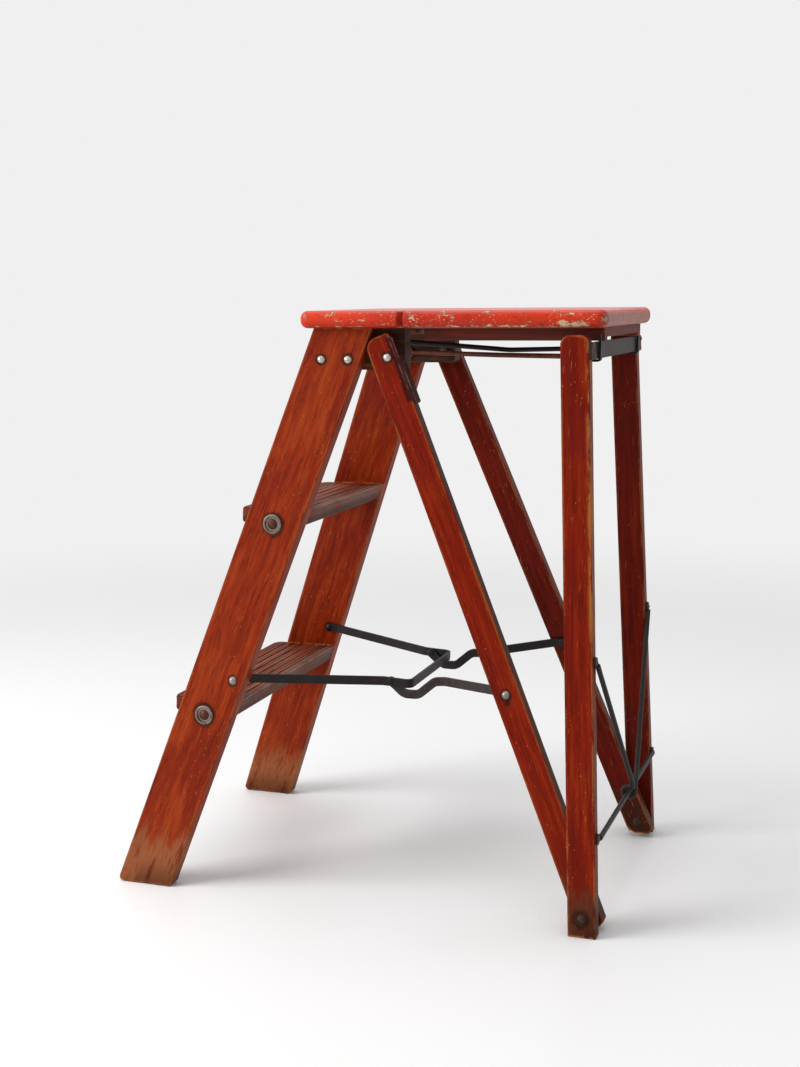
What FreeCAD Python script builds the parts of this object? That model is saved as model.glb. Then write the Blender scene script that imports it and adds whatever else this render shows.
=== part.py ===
import FreeCAD, Part

import math
import os
import re

from FreeCAD import Placement, Rotation, Vector

# Folding step stool. Millimetres and degrees. +Z is up, +X is the left-hand side seen from behind,
# the treads face -Y. The origin is the middle of the footprint, on the floor.

os.makedirs("parts", exist_ok=True)
doc = FreeCAD.newDocument("folding_step_stool")

# Driving sizes
SIZES = {
    # Platform: a fixed front board and a hinged rear board
    "platform_height": 660.0,
    "platform_rear": 274.0,
    "platform_overhang": 15.3,
    "board_thickness": 19.0,
    "board_rounding": 8.0,
    "board_corner": 12.0,
    "front_board_depth": 115.0,
    "rear_board_depth": 222.0,
    "board_gap": 6.5,
    # Stiles: the two wide boards that carry the treads
    "stile_width": 64.6,
    "stile_thickness": 18.5,
    "stile_lean": 19.9,
    "stile_splay": 6.08,
    "stile_foot_half_width": 186.0,
    "stile_head_offset": 47.0,
    "stile_rounding": 1.5,
    "foot_rounding": 5.0,
    # Treads
    "step_rise": 220.7,
    "tread_thickness": 17.5,
    "tread_depth": 86.5,
    "tread_inset": 0.2,
    "tread_housing": 6.0,
    "tread_corner": 13.0,
    "tread_rounding": 3.0,
    "groove_count": 6,
    "groove_width": 2.6,
    "groove_depth": 2.2,
    "groove_spacing": 11.6,
    "groove_setback": 16.0,
    # Rods under the treads
    "tie_rod_radius": 4.0,
    "tie_rod_drop": 15.5,
    "tie_rod_offset": 3.8,
    "washer_radius": 11.3,
    "washer_thickness": 3.6,
    "washer_recess": 1.8,
    "washer_rim": 2.6,
    "peened_radius": 6.0,
    "peened_height": 2.6,
    # Head cleats between stiles and board
    "cleat_thickness": 14.5,
    "cleat_height": 46.0,
    "cleat_depth": 101.0,
    "cleat_front_setback": 13.5,
    "dowel_radius": 4.0,
    "dowel_reach": 12.0,
    "dowel_inset": 8.0,
    # Dome-headed rivets and bolts
    "head_rivet_drop": 34.2,
    "head_rivet_spacing": 31.4,
    "head_rivet_setback": 64.2,
    "dome_radius": 5.3,
    "dome_height": 4.0,
    "shank_radius": 2.5,
    "nut_side": 9.0,
    "nut_thickness": 3.6,
    "rivet_end_radius": 4.6,
    "rivet_end_height": 1.8,
    "shank_play": 0.08,
    "running_gap": 0.3,
    "seat_depth": 0.3,
    # Prop legs: the diagonal pair
    "prop_width": 30.0,
    "prop_thickness": 15.0,
    "prop_splay": 3.52,
    "prop_stand_out": 0.13,
    "prop_foot_height": 5.0,
    "prop_pivot_setback": 18.3,
    "prop_pivot_drop": 31.7,
    "prop_pivot_offset": 4.57,
    "prop_head_reach": 25.5,
    "prop_head_round": 13.0,
    "prop_foot_clip": 7.0,
    "prop_washer_radius": 8.0,
    # Wear block on the left prop
    "wear_block_depth": 3.4,
    "wear_block_drop": 10.0,
    "wear_block_length": 71.0,
    "wear_block_notch": 2.5,
    "wear_block_step": 1.2,
    "wear_block_lip": 27.0,
    # Rear legs
    "rear_leg_width": 30.7,
    "rear_leg_thickness": 16.0,
    "rear_leg_lean": 2.06,
    "rear_leg_splay": 3.79,
    "foot_gap": 6.57,
    "rear_leg_setback": 10.4,
    "rear_leg_clearance": 7.0,
    "rear_leg_rounding": 10.0,
    "foot_pivot_height": 20.0,
    "foot_washer_radius": 9.0,
    "leg_rounding": 1.2,
    # Cross bar on the rear legs
    "cross_bar_height": 18.0,
    "cross_bar_thickness": 3.0,
    "cross_bar_drop": 23.4,
    "screw_head_radius": 3.6,
    "screw_head_height": 1.8,
    "screw_radius": 1.8,
    "screw_length": 16.0,
    "cross_bar_screw_spread": 5.0,
    "cross_bar_screw_inset": 8.0,
    # Battens under the rear board
    "batten_side_gap": 21.0,
    "batten_width": 15.0,
    "batten_height": 13.8,
    "batten_setback": 15.0,
    "batten_tail": 5.5,
    "rear_batten_height": 10.0,
    "rear_batten_width": 20.0,
    "batten_screw_inset": 30.0,
    "batten_screw_length": 24.0,
    # Hinges between the boards
    "hinge_inset": 32.6,
    "hinge_width": 34.0,
    "hinge_leaf_length": 20.0,
    "hinge_leaf_thickness": 2.0,
    "hinge_knuckle_radius": 3.0,
    "hinge_pin_radius": 1.3,
    "hinge_screw_spread": 8.0,
    "hinge_screw_head": 3.0,
    "hinge_screw_length": 10.0,
    # Stay rods under the platform
    "stay_radius": 2.8,
    "stay_eye_radius": 8.0,
    "stay_eye_thickness": 3.0,
    "stay_hook_inset": 16.5,
    "stay_rise": 22.0,
    "stay_hook_height": 26.0,
    "stay_bend": 10.0,
    "stay_flat_width": 8.0,
    "stay_flat_thickness": 2.4,
    "stay_flat_bend": 3.0,
    "stay_flat_reach": 14.0,
    "stay_dip": 14.0,
    # Spreader
    "spreader_rise": 25.9,
    "spreader_front_setback": 14.2,
    "spreader_rear_offset": 1.2,
    "spreader_rear_rise": 3.5,
    "spreader_middle": 15.0,
    "knee_sag": 8.5,
    "knee_inset": 49.2,
    "strap_height": 10.0,
    "strap_thickness": 3.0,
    "strap_eye_run": 12.0,
    "strap_knee_run": 8.0,
    "bridge_offset": 25.0,
    "dip_start": 16.0,
    "dip_end": 33.0,
    "dip_exit": 53.0,
    "dip_depth": 14.0,
    "dip_rise": 3.0,
    "dip_bend": 13.0,
    "arm_turn": 12.0,
    "strap_bend": 4.0,
    "arm_side_gap": 0.5,
    "arm_end_gap": 0.9,
    # Braces between the rear legs
    "brace_height": 105.5,
    "brace_top": 293.7,
    "brace_radius": 2.8,
    "brace_eye_radius": 6.0,
    "brace_eye_thickness": 2.4,
}

# Places and lengths that follow from the driving sizes
LAYOUT = {
    "underside": "platform_height - board_thickness",
    "gap_middle": "platform_rear - rear_board_depth - board_gap / 2",
    "front_board_rear": "gap_middle - board_gap / 2",
    "front_board_front": "front_board_rear - front_board_depth",
    "board_front": "platform_rear - rear_board_depth",
    "stile_slope": "tan(stile_lean)",
    "stile_spread": "tan(stile_splay)",
    "stile_half_depth": "stile_width / cos(stile_lean) / 2",
    "stile_side": "stile_thickness / cos(stile_splay)",
    "head_half_width": "stile_foot_half_width - underside * stile_spread",
    "platform_half_width": "head_half_width + platform_overhang",
    "stile_head": "front_board_front + stile_head_offset",
    "stile_foot": "stile_head - underside * stile_slope",
    "tread_top_lower": "platform_height - 2 * step_rise",
    "tread_top_upper": "platform_height - step_rise",
    "cleat_inner": "head_half_width - stile_side - cleat_thickness",
    "cleat_front": "front_board_front + cleat_front_setback",
    "cleat_rear": "cleat_front + cleat_depth",
    "cleat_foot": "underside - cleat_height",
    "head_rivet_height": "underside - head_rivet_drop",
    "rivet_rear": "gap_middle - head_rivet_setback",
    "rivet_front": "rivet_rear - head_rivet_spacing",
    "foot_pivot": "platform_rear - rear_leg_setback",
    "prop_pivot": "gap_middle - prop_pivot_setback",
    "prop_pivot_height": "underside - prop_pivot_drop",
    "prop_slope": "(foot_pivot - prop_pivot + prop_pivot_offset) / (prop_pivot_height - foot_pivot_height)",
    "prop_lean": "atan(prop_slope)",
    "prop_spread": "tan(prop_splay)",
    "prop_side": "prop_thickness / cos(prop_splay)",
    "prop_half_depth": "prop_width / cos(prop_lean) / 2",
    "prop_foot": "foot_pivot + foot_pivot_height * prop_slope",
    "prop_foot_half_width": "stile_foot_half_width - prop_pivot_height * (stile_spread - prop_spread)"
                            " + prop_stand_out",
    "wear_block_top": "underside - wear_block_drop",
    "wear_block_foot": "wear_block_top - wear_block_length",
    "wear_block_step_height": "wear_block_top - wear_block_lip",
    "leg_slope": "tan(rear_leg_lean)",
    "leg_spread": "tan(rear_leg_splay)",
    "leg_side": "rear_leg_thickness / cos(rear_leg_splay)",
    "leg_half_depth": "rear_leg_width / cos(rear_leg_lean) / 2",
    "leg_foot": "foot_pivot + foot_pivot_height * leg_slope",
    "rear_leg_top": "underside - rear_leg_clearance",
    "rear_leg_foot_half_width": "prop_foot_half_width - foot_pivot_height * (prop_spread - leg_spread)"
                                " + foot_gap + leg_side",
    "cross_bar_level": "underside - cross_bar_drop",
    "bar_front": "leg_foot - cross_bar_level * leg_slope + leg_half_depth",
    "bar_low": "cross_bar_level - cross_bar_height / 2",
    "bar_half_length": "rear_leg_foot_half_width - cross_bar_level * leg_spread",
    "batten_inner": "bar_half_length - leg_side - batten_side_gap - batten_width",
    "stay_hook_x": "bar_half_length - leg_side - stay_hook_inset",
    "batten_front": "board_front + batten_setback",
    "batten_rear": "bar_front + cross_bar_thickness + batten_tail",
    "hinge_level": "underside - hinge_knuckle_radius - running_gap",
    "hinge_offset": "cleat_inner - hinge_inset",
    "spreader_height": "tread_top_lower + spreader_rise",
    "knee_height": "spreader_height - knee_sag",
    "spreader_rear_height": "spreader_height + spreader_rear_rise",
    "strap_middle_outer": "prop_foot_half_width - spreader_height * prop_spread - prop_side - knee_inset",
    "spreader_front_y": "stile_head - (underside - spreader_height) * stile_slope"
                        " + stile_half_depth - spreader_front_setback",
    "spreader_rear_y": "prop_foot - spreader_rear_height * prop_slope - spreader_rear_offset",
}


def formula(text):
    """The text with each plain size name pointing at the sheet or at the layout."""
    def point(word):
        name = word.group(0)
        if name in SIZES:
            return "Sizes." + name
        if name in LAYOUT:
            return "Layout." + name
        return name
    return re.sub(r"[a-z][a-z0-9_]*", point, str(text))


sheet = doc.addObject("Spreadsheet::Sheet", "Sizes")
for row, (size_name, number) in enumerate(SIZES.items(), start=1):
    sheet.set(f"B{row}", str(number))
    sheet.setAlias(f"B{row}", size_name)
doc.recompute()

layout = doc.addObject("App::VarSet", "Layout")
for place_name, text in LAYOUT.items():
    layout.addProperty("App::PropertyFloat", place_name, "Layout")
    layout.setExpression(place_name, formula(text))
doc.recompute()


def size(name):
    """The present value of a size or a layout place."""
    return getattr(sheet if name in SIZES else layout, name)


NODES = {}


def keep(node, piece):
    """Name a finished sub-part."""
    piece.Label = node
    NODES[node] = piece
    return piece


def bind(piece, sizes):
    for name, text in sizes.items():
        piece.setExpression(name, formula(text))


def put(piece, x="0", y="0", z="0", axis=None, angle=None):
    """Bind a piece's place, and turn it about an axis."""
    if axis:
        turned = Rotation(Vector(*axis), 30.0)
        piece.Placement = Placement(Vector(), turned)
    bind(piece, {".Placement.Base.x": x, ".Placement.Base.y": y, ".Placement.Base.z": z})
    if axis:
        bind(piece, {".Placement.Rotation.Angle": angle})
    return piece


# Bodies of the right-hand side: their x limits are turned over
RIGHT = set()


def new_body(name, right=False):
    body = doc.addObject("PartDesign::Body", name + "_body")
    if right:
        RIGHT.add(body.Name)
    return body


def pair(stem, build):
    """Build a handed piece for both sides."""
    for side, right in (("_left", False), ("_right", True)):
        keep(stem + side, build(new_body(stem + side, right)))


def limits(body, x):
    return (f"-({x[1]})", f"-({x[0]})") if body.Name in RIGHT else x


def handed(body, x):
    return f"-({x})" if body.Name in RIGHT else x


def feature(body, kind, sizes, **place):
    """A primitive added to a body, or cut out of it, with its sizes bound."""
    piece = body.newObject("PartDesign::" + kind, kind)
    bind(piece, sizes)
    put(piece, **place)
    return piece


def slab(body, kind, x, y, z):
    """A box between pairs of limits."""
    x = limits(body, x)
    return feature(body, kind + "Box",
                   {"Length": f"({x[1]}) - ({x[0]})", "Width": f"({y[1]}) - ({y[0]})",
                    "Height": f"({z[1]}) - ({z[0]})"},
                   x=x[0], y=y[0], z=z[0])


def bar_x(body, kind, radius, x, y, z):
    """A cylinder along X between a pair of limits."""
    x = limits(body, x)
    return feature(body, kind + "Cylinder", {"Radius": radius, "Height": f"({x[1]}) - ({x[0]})"},
                   x=x[0], y=y, z=z, axis=(0, 1, 0), angle="90")


def board(body, kind, z, low, high):
    """A board with level ends: its section goes from low to high, each as x limits and y limits."""
    low = limits(body, low[:2]) + low[2:]
    high = limits(body, high[:2]) + high[2:]
    return feature(body, kind + "Wedge",
                   {"Ymin": z[0], "Ymax": z[1],
                    "Xmin": low[0], "Xmax": low[1],
                    "Zmin": f"-({low[3]})", "Zmax": f"-({low[2]})",
                    "X2min": high[0], "X2max": high[1],
                    "Z2min": f"-({high[3]})", "Z2max": f"-({high[2]})"},
                   axis=(1, 0, 0), angle="90")


def rounded(body, kind, radius, wanted):
    """Round or bevel those edges of the body that the test wants."""
    doc.recompute()
    tip = body.Tip
    names = [f"Edge{number}" for number, edge in enumerate(tip.Shape.Edges, start=1) if wanted(edge)]
    edge_round = body.newObject("PartDesign::" + kind, kind)
    edge_round.Base = (tip, names)
    bind(edge_round, {"Radius" if kind == "Fillet" else "Size": radius})
    return edge_round


def direction(edge):
    return edge.tangentAt(edge.FirstParameter)


def middle(edge):
    return edge.BoundBox.Center


# How far along an axis a direction's unit vector reaches when the edge is taken to run that way
ALONG = 0.7


def across(edge):
    return abs(direction(edge).x) > ALONG


def upright(edge):
    return abs(direction(edge).z) > ALONG


def slant(body, x, width, height, y, z, angle):
    """Cut a box away that is turned about X, from its lower front corner."""
    x = limits(body, x)
    return feature(body, "SubtractiveBox",
                   {"Length": f"({x[1]}) - ({x[0]})", "Width": width, "Height": height},
                   x=x[0], y=y, z=z, axis=(1, 0, 0), angle=angle)


def copies(node, master, places):
    """A group of equal fasteners: the master at each place, given as put() takes it."""
    links = []
    for number, place in enumerate(places):
        link = doc.addObject("App::Link", f"{node}_{number}")
        link.LinkedObject = master
        put(link, **place)
        links.append(link)
    group = doc.addObject("Part::Compound", node + "_group")
    group.Links = links
    return keep(node, group)


def at_height(foot, slope, z):
    """A sloping line's place at a height."""
    return f"({foot} - ({z}) * {slope})"


def stile_y(z):
    return f"(stile_foot + ({z}) * stile_slope)"


def stile_out(z):
    return at_height("stile_foot_half_width", "stile_spread", z)


def prop_out(z):
    return at_height("prop_foot_half_width", "prop_spread", z)


def leg_out(z):
    return at_height("rear_leg_foot_half_width", "leg_spread", z)


def leg_section(out, side, y, half):
    """A leg's level section: x limits and y limits."""
    return (f"{out} - {side}", out, f"{y} - {half}", f"{y} + {half}")


def seat_x(out, spread, radius="dome_radius"):
    """Where a flat seat, square to the bolt, lies in a splayed outer face."""
    return f"({out} - ({radius} + running_gap) * {spread} - seat_depth)"


def seat(body, out, spread, y, z, radius="dome_radius"):
    bar_x(body, "Subtractive", f"{radius} + running_gap",
          (seat_x(out, spread, radius), f"{out} + board_thickness"), y, z)


def bore(body, x, y, z, radius="shank_radius + shank_play"):
    bar_x(body, "Subtractive", radius, x, y, z)


# Treads
def tread_rear(z):
    return f"({stile_y(z)} + stile_half_depth - tread_inset)"


def tread_section(top, z):
    """A tread's level section: its front is upright, and its rear follows the stiles' slope."""
    reach = f"({stile_out(z)} - stile_side + tread_housing)"
    return (f"-{reach}", reach, f"{tread_rear(top)} - tread_depth", tread_rear(z))


def tread_blank(body, kind, top):
    foot = f"({top} - tread_thickness)"
    return board(body, kind, (foot, top), tread_section(top, foot), tread_section(top, top))


def tie_rod_y(top):
    return f"({tread_rear(top)} - tread_depth / 2 + tie_rod_offset)"


def tie_rod_z(top):
    return f"({top} - tie_rod_drop)"


def make_tread(node, top):
    body = new_body(node)
    tread_blank(body, "Additive", top)
    nose = min(vertex.Y for vertex in recomputed(body).Vertexes)
    front = nose + size("tread_rounding") / 2
    rounded(body, "Fillet", "tread_corner", lambda edge: upright(edge) and middle(edge).y < front)
    rounded(body, "Fillet", "tread_rounding", lambda edge: across(edge) and middle(edge).y < front)
    for number in range(int(size("groove_count"))):
        groove_y = f"{tread_section(top, top)[2]} + groove_setback + {number} * groove_spacing"
        slab(body, "Subtractive", (f"-({stile_out(top)})", stile_out(top)),
             (groove_y, f"{groove_y} + groove_width"), (f"{top} - groove_depth", f"{top} + groove_depth"))
    bar_x(body, "Subtractive", "tie_rod_radius + shank_play",
          (f"-({stile_out(top)})", stile_out(top)), tie_rod_y(top), tie_rod_z(top))
    return keep(node, body)


def recomputed(body):
    doc.recompute()
    return body.Tip.Shape


TREADS = {"tread_lower": "tread_top_lower", "tread_upper": "tread_top_upper"}
for tread_node, tread_top in TREADS.items():
    make_tread(tread_node, tread_top)


# Stiles, with housings for the treads
STILE_BOLTS = (("rivet_front", "head_rivet_height"), ("rivet_rear", "head_rivet_height"),
               ("spreader_front_y", "spreader_height"))


def stile(body):
    board(body, "Additive", ("0", "underside"),
          leg_section(stile_out("0"), "stile_side", stile_y("0"), "stile_half_depth"),
          leg_section(stile_out("underside"), "stile_side", stile_y("underside"), "stile_half_depth"))
    rounded(body, "Fillet", "foot_rounding",
            lambda edge: across(edge) and middle(edge).z < size("stile_rounding"))
    rounded(body, "Fillet", "stile_rounding", lambda edge: upright(edge) and edge.Length > size("step_rise"))
    for top in TREADS.values():
        rod_y, rod_z = tie_rod_y(top), tie_rod_z(top)
        tread_blank(body, "Subtractive", top)
        bore(body, (f"{stile_out(top)} - 2 * stile_side", f"{stile_out(top)} + stile_side"),
             rod_y, rod_z, "tie_rod_radius + shank_play")
        seat(body, stile_out(rod_z), "stile_spread", rod_y, rod_z, "washer_radius")
    for bolt_y, bolt_z in STILE_BOLTS:
        bore(body, (f"{stile_out(bolt_z)} - 2 * stile_side", f"{stile_out(bolt_z)} + stile_side"),
             bolt_y, bolt_z)
        seat(body, stile_out(bolt_z), "stile_spread", bolt_y, bolt_z)
    return body


pair("stile", stile)

# Dowels between the cleats and the front board
DOWEL_SHARES = (0.14, 0.86)
DOWELS = [("cleat_inner + dowel_inset", f"cleat_front + {share} * cleat_depth") for share in DOWEL_SHARES]


def dowel_hole(body, x, y):
    feature(body, "SubtractiveCylinder",
            {"Radius": "dowel_radius + shank_play", "Height": "2 * (dowel_reach + shank_play)"},
            x=x, y=y, z="underside - dowel_reach - shank_play")


# Head cleats, bevelled to the stiles
def cleat_section(z):
    return ("cleat_inner", f"{stile_out(z)} - stile_side", "cleat_front", "cleat_rear")


def cleat(body):
    board(body, "Additive", ("cleat_foot", "underside"),
          cleat_section("cleat_foot"), cleat_section("underside"))
    low = size("cleat_foot") + size("stile_rounding")
    rounded(body, "Chamfer", "2 * stile_rounding", lambda edge: across(edge) and middle(edge).z < low)
    for bolt_y, bolt_z in (("rivet_front", "head_rivet_height"), ("rivet_rear", "head_rivet_height"),
                           ("prop_pivot", "prop_pivot_height")):
        bore(body, ("cleat_inner - stile_side", f"{stile_out(bolt_z)} + stile_side"), bolt_y, bolt_z)
    for x, y in DOWELS:
        dowel_hole(body, handed(body, x), y)
    return body


pair("head_cleat", cleat)


# Platform boards
def plank(node, y, outer):
    """A platform board, well rounded all round but for its edge at the gap."""
    body = new_body(node)
    slab(body, "Additive", ("-platform_half_width", "platform_half_width"), y,
         ("underside", "platform_height"))

    def at_gap(edge):
        return across(edge) and abs(middle(edge).y - size("gap_middle")) < size("board_gap")

    rounded(body, "Fillet", "board_corner",
            lambda edge: upright(edge) and abs(middle(edge).y - size(outer)) < size("board_gap"))
    rounded(body, "Fillet", "board_rounding", lambda edge: not upright(edge) and not at_gap(edge))
    rounded(body, "Fillet", "board_rounding / 4", at_gap)
    return keep(node, body)


front_board = plank("front_board", ("front_board_front", "front_board_rear"), "front_board_front")
rear_board = plank("rear_board", ("board_front", "platform_rear"), "platform_rear")


# Fasteners
def cap(body, radius, height, x, turned=False):
    """A low dome on a round base at x, facing +X or, turned, -X."""
    ball = f"(({radius}) ^ 2 + ({height}) ^ 2) / (2 * ({height}))"
    rise = f"({ball} - ({height}))"
    body_x = f"({x}) + {rise}" if turned else f"({x}) - {rise}"
    feature(body, "AdditiveSphere",
            {"Radius": ball, "Angle1": f"asin({rise} / ({ball}))"},
            x=body_x, axis=(0, -1 if turned else 1, 0), angle="90")


def fastener(name, length, end=True):
    """A dome-headed rivet or bolt along X: the flat of its head is at the origin."""
    body = new_body(name)
    bar_x(body, "Additive", "shank_radius", (f"-({length})", "dome_height / 2"), "0", "0")
    cap(body, "dome_radius", "dome_height", "0")
    if end:
        cap(body, "rivet_end_radius", "rivet_end_height", f"-({length})", turned=True)
    return body


def both_sides(x, y, z):
    """Places for a fastener and its opposite number, heads outwards."""
    return [{"x": x, "y": y, "z": z, "axis": (0, 0, 1), "angle": "0"},
            {"x": f"-({x})", "y": y, "z": z, "axis": (0, 0, 1), "angle": "180"}]


def wood_screw(name, head_radius, length):
    """A countersunk screw that points up, with the flat of its slotted head at the origin."""
    body = new_body(name)
    feature(body, "AdditiveCone", {"Radius1": head_radius, "Radius2": "screw_radius",
                                   "Height": "screw_head_height"})
    feature(body, "AdditiveCylinder", {"Radius": "screw_radius", "Height": length})
    slab(body, "Subtractive", (f"-{head_radius}", head_radius), ("-screw_radius / 4", "screw_radius / 4"),
         ("-screw_head_height", "screw_head_height / 3"))
    return body


def screw_hole(body, x, y, z, head_radius, length):
    feature(body, "SubtractiveCylinder", {"Radius": "screw_radius + shank_play",
                                          "Height": f"{length} + shank_play"}, x=x, y=y, z=z)
    feature(body, "SubtractiveCone", {"Radius1": f"{head_radius} + shank_play",
                                      "Radius2": "screw_radius + shank_play",
                                      "Height": "screw_head_height"}, x=x, y=y, z=z)


def nut(name):
    """A hexagon nut along X, its seat at the origin, its body towards -X."""
    body = new_body(name)
    feature(body, "AdditivePrism", {"Circumradius": "nut_side / cos(30) / 2", "Height": "nut_thickness"},
            x="-nut_thickness", axis=(0, 1, 0), angle="90")
    bore(body, ("-nut_thickness", "nut_thickness"), "0", "0")
    return body


def ring(name, radius, thickness):
    """A washer along X, its inner face at the origin."""
    body = new_body(name)
    bar_x(body, "Additive", radius, ("0", thickness), "0", "0")
    bore(body, (f"-({thickness})", f"2 * ({thickness})"), "0", "0")
    return body


# Tie rods and their cup washers
def tie_rod_seat(top):
    return seat_x(stile_out(tie_rod_z(top)), "stile_spread", "washer_radius")


for tread_node, tread_top in TREADS.items():
    rod = new_body(tread_node.replace("tread", "tie_rod"))
    rod_end = f"({tie_rod_seat(tread_top)} + washer_thickness - washer_recess)"
    bar_x(rod, "Additive", "tie_rod_radius", (f"-{rod_end}", rod_end),
          tie_rod_y(tread_top), tie_rod_z(tread_top))
    for turned in (False, True):
        head = f"{'-' if turned else ''}{rod_end}"
        cap(rod, "peened_radius", "peened_height", head, turned)
        bind(rod.Tip, {".Placement.Base.y": tie_rod_y(tread_top), ".Placement.Base.z": tie_rod_z(tread_top)})
    keep(tread_node.replace("tread", "tie_rod"), rod)

cup = new_body("cup_washer")
bar_x(cup, "Additive", "washer_radius", ("0", "washer_thickness"), "0", "0")
rounded(cup, "Fillet", "washer_rim / 2", lambda edge: middle(edge).x > size("washer_thickness") / 2)
bar_x(cup, "Subtractive", "washer_radius - washer_rim",
      ("washer_thickness - washer_recess", "2 * washer_thickness"), "0", "0")
bore(cup, ("-washer_thickness", "2 * washer_thickness"), "0", "0", "tie_rod_radius + shank_play")
copies("tie_rod_washers", cup,
       [place for tread_top in TREADS.values()
        for place in both_sides(tie_rod_seat(tread_top), tie_rod_y(tread_top), tie_rod_z(tread_top))])

# The dowels themselves
dowel = new_body("dowel")
feature(dowel, "AdditiveCylinder", {"Radius": "dowel_radius", "Height": "2 * dowel_reach"}, z="-dowel_reach")
dowel_places = [{"x": f"{side}({x})", "y": y, "z": "underside"} for x, y in DOWELS for side in ("", "-")]
for place in dowel_places:
    dowel_hole(front_board, place["x"], place["y"])
copies("front_board_dowels", dowel, dowel_places)

# Bolts through the stile heads, and rivets that also carry the stay rods
HEAD = "head_rivet_height"
head_seat = seat_x(stile_out(HEAD), "stile_spread")
bolt_end = "(cleat_inner - nut_thickness - shank_radius / 2)"
head_bolt = fastener("head_bolt", f"{head_seat} - {bolt_end}", end=False)
copies("head_bolts", head_bolt, both_sides(head_seat, "rivet_front", HEAD))
stay_seat = "(cleat_inner - stay_eye_thickness - 2 * running_gap)"
stay_rivet = fastener("stay_rivet", f"{head_seat} - {stay_seat}")
copies("stay_rivets", stay_rivet, both_sides(head_seat, "rivet_rear", HEAD))
plain_nut = nut("plain_nut")
copies("head_nuts", plain_nut, both_sides("cleat_inner", "rivet_front", HEAD))

# Prop pivots: bolt, washer and nut
PIVOT = "prop_pivot_height"
pivot_face = seat_x(prop_out(PIVOT), "prop_spread")
pivot_spot = (f"({prop_out(PIVOT)} - prop_side + (prop_washer_radius + running_gap) * prop_spread"
              " + seat_depth)")
washer_seat = f"({stile_out(PIVOT)} - stile_side + prop_washer_radius * stile_spread)"
pivot_bolt = fastener("pivot_bolt", f"{pivot_face} + running_gap - {bolt_end}", end=False)
copies("prop_pivot_bolts", pivot_bolt, both_sides(f"{pivot_face} + running_gap", "prop_pivot", PIVOT))
pivot_washer = ring("pivot_washer", "prop_washer_radius", f"{pivot_spot} - running_gap - {washer_seat}")
copies("prop_pivot_washers", pivot_washer, both_sides(washer_seat, "prop_pivot", PIVOT))
copies("prop_pivot_nuts", plain_nut, both_sides("cleat_inner", "prop_pivot", PIVOT))


# Prop legs
def prop_y(z):
    return at_height("prop_foot", "prop_slope", z)


def leg_y(z):
    return at_height("leg_foot", "leg_slope", z)


def leg_board(body, z, out, side, y, half):
    """A splayed and leaning leg with level ends."""
    low, high = z
    board(body, "Additive", z, leg_section(out(low), side, y(low), half),
          leg_section(out(high), side, y(high), half))
    return body


def along(edge):
    return upright(edge) and edge.Length > size("step_rise")


def block_section(z, notch):
    rear = f"({prop_y(z)} + prop_half_depth)"
    return (f"{prop_out(z)} - prop_side", prop_out(z), f"{rear} - ({notch})",
            f"{rear} + wear_block_depth / cos(prop_lean)")


def wear_board(body, kind):
    """The wear block's rough form, or the notch for it in the prop."""
    board(body, kind, ("wear_block_foot", "wear_block_top"),
          block_section("wear_block_foot", "running_gap"),
          block_section("wear_block_top", "wear_block_notch"))


FOOT = "foot_pivot_height"
SPREAD = "spreader_height"
REAR_SPREAD = "spreader_rear_height"
beside_props = (f"{prop_out('underside')} - 2 * prop_side", f"{prop_out('underside')} + 2 * prop_side")


def prop_leg(body):
    leg_board(body, ("prop_foot_height", "underside"), prop_out, "prop_side", prop_y, "prop_half_depth")
    slant(body, beside_props, "2 * prop_width", "2 * prop_head_reach",
          "prop_pivot - prop_head_reach * sin(prop_lean) - prop_width * cos(prop_lean)",
          "prop_pivot_height + prop_head_reach * cos(prop_lean) - prop_width * sin(prop_lean)", "prop_lean")

    def head(edge):
        return across(edge) and middle(edge).z > size(PIVOT)

    front = size("prop_pivot") - size("prop_width") / 4
    rounded(body, "Fillet", "prop_head_round", lambda edge: head(edge) and middle(edge).y < front)
    rounded(body, "Fillet", "prop_head_round / 3", lambda edge: head(edge) and middle(edge).y > front)
    rounded(body, "Chamfer", "prop_foot_clip",
            lambda edge: across(edge) and middle(edge).z < 2 * size("prop_foot_height"))
    rounded(body, "Fillet", "leg_rounding", along)
    if body.Name not in RIGHT:
        wear_board(body, "Subtractive")
    for bolt_y, bolt_z in (("prop_pivot", PIVOT), ("foot_pivot", FOOT), ("spreader_rear_y", REAR_SPREAD)):
        bore(body, (f"{prop_out(bolt_z)} - 2 * prop_side", f"{prop_out(bolt_z)} + prop_side"),
             bolt_y, bolt_z)
    seat(body, prop_out(PIVOT), "prop_spread", "prop_pivot", PIVOT)
    seat(body, prop_out(FOOT), "prop_spread", "foot_pivot", FOOT, "foot_washer_radius")
    seat(body, prop_out(REAR_SPREAD), "prop_spread", "spreader_rear_y", REAR_SPREAD)
    bar_x(body, "Subtractive", "prop_washer_radius + running_gap",
          (f"{prop_out(PIVOT)} - 2 * prop_side", pivot_spot), "prop_pivot", PIVOT)
    return body


pair("prop_leg", prop_leg)


# Wear block let into the rear edge of the left prop
block = new_body("prop_wear_block")
wear_board(block, "Additive")
slant(block, beside_props, "prop_width", "prop_width",
      f"{block_section('wear_block_step_height', '0')[3]} - wear_block_step / cos(prop_lean)",
      "wear_block_step_height", "prop_lean")
block_nose = max(vertex.Y for vertex in recomputed(block).Vertexes)
rounded(block, "Chamfer", "wear_block_depth - wear_block_step",
        lambda edge: across(edge) and middle(edge).y > block_nose - size("wear_block_step") / 2)
keep("prop_wear_block", block)

# Rear legs
leg_spot = f"({leg_out(FOOT)} - leg_side + (foot_washer_radius + running_gap) * leg_spread + seat_depth)"
rear_edge_holes = []


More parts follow.
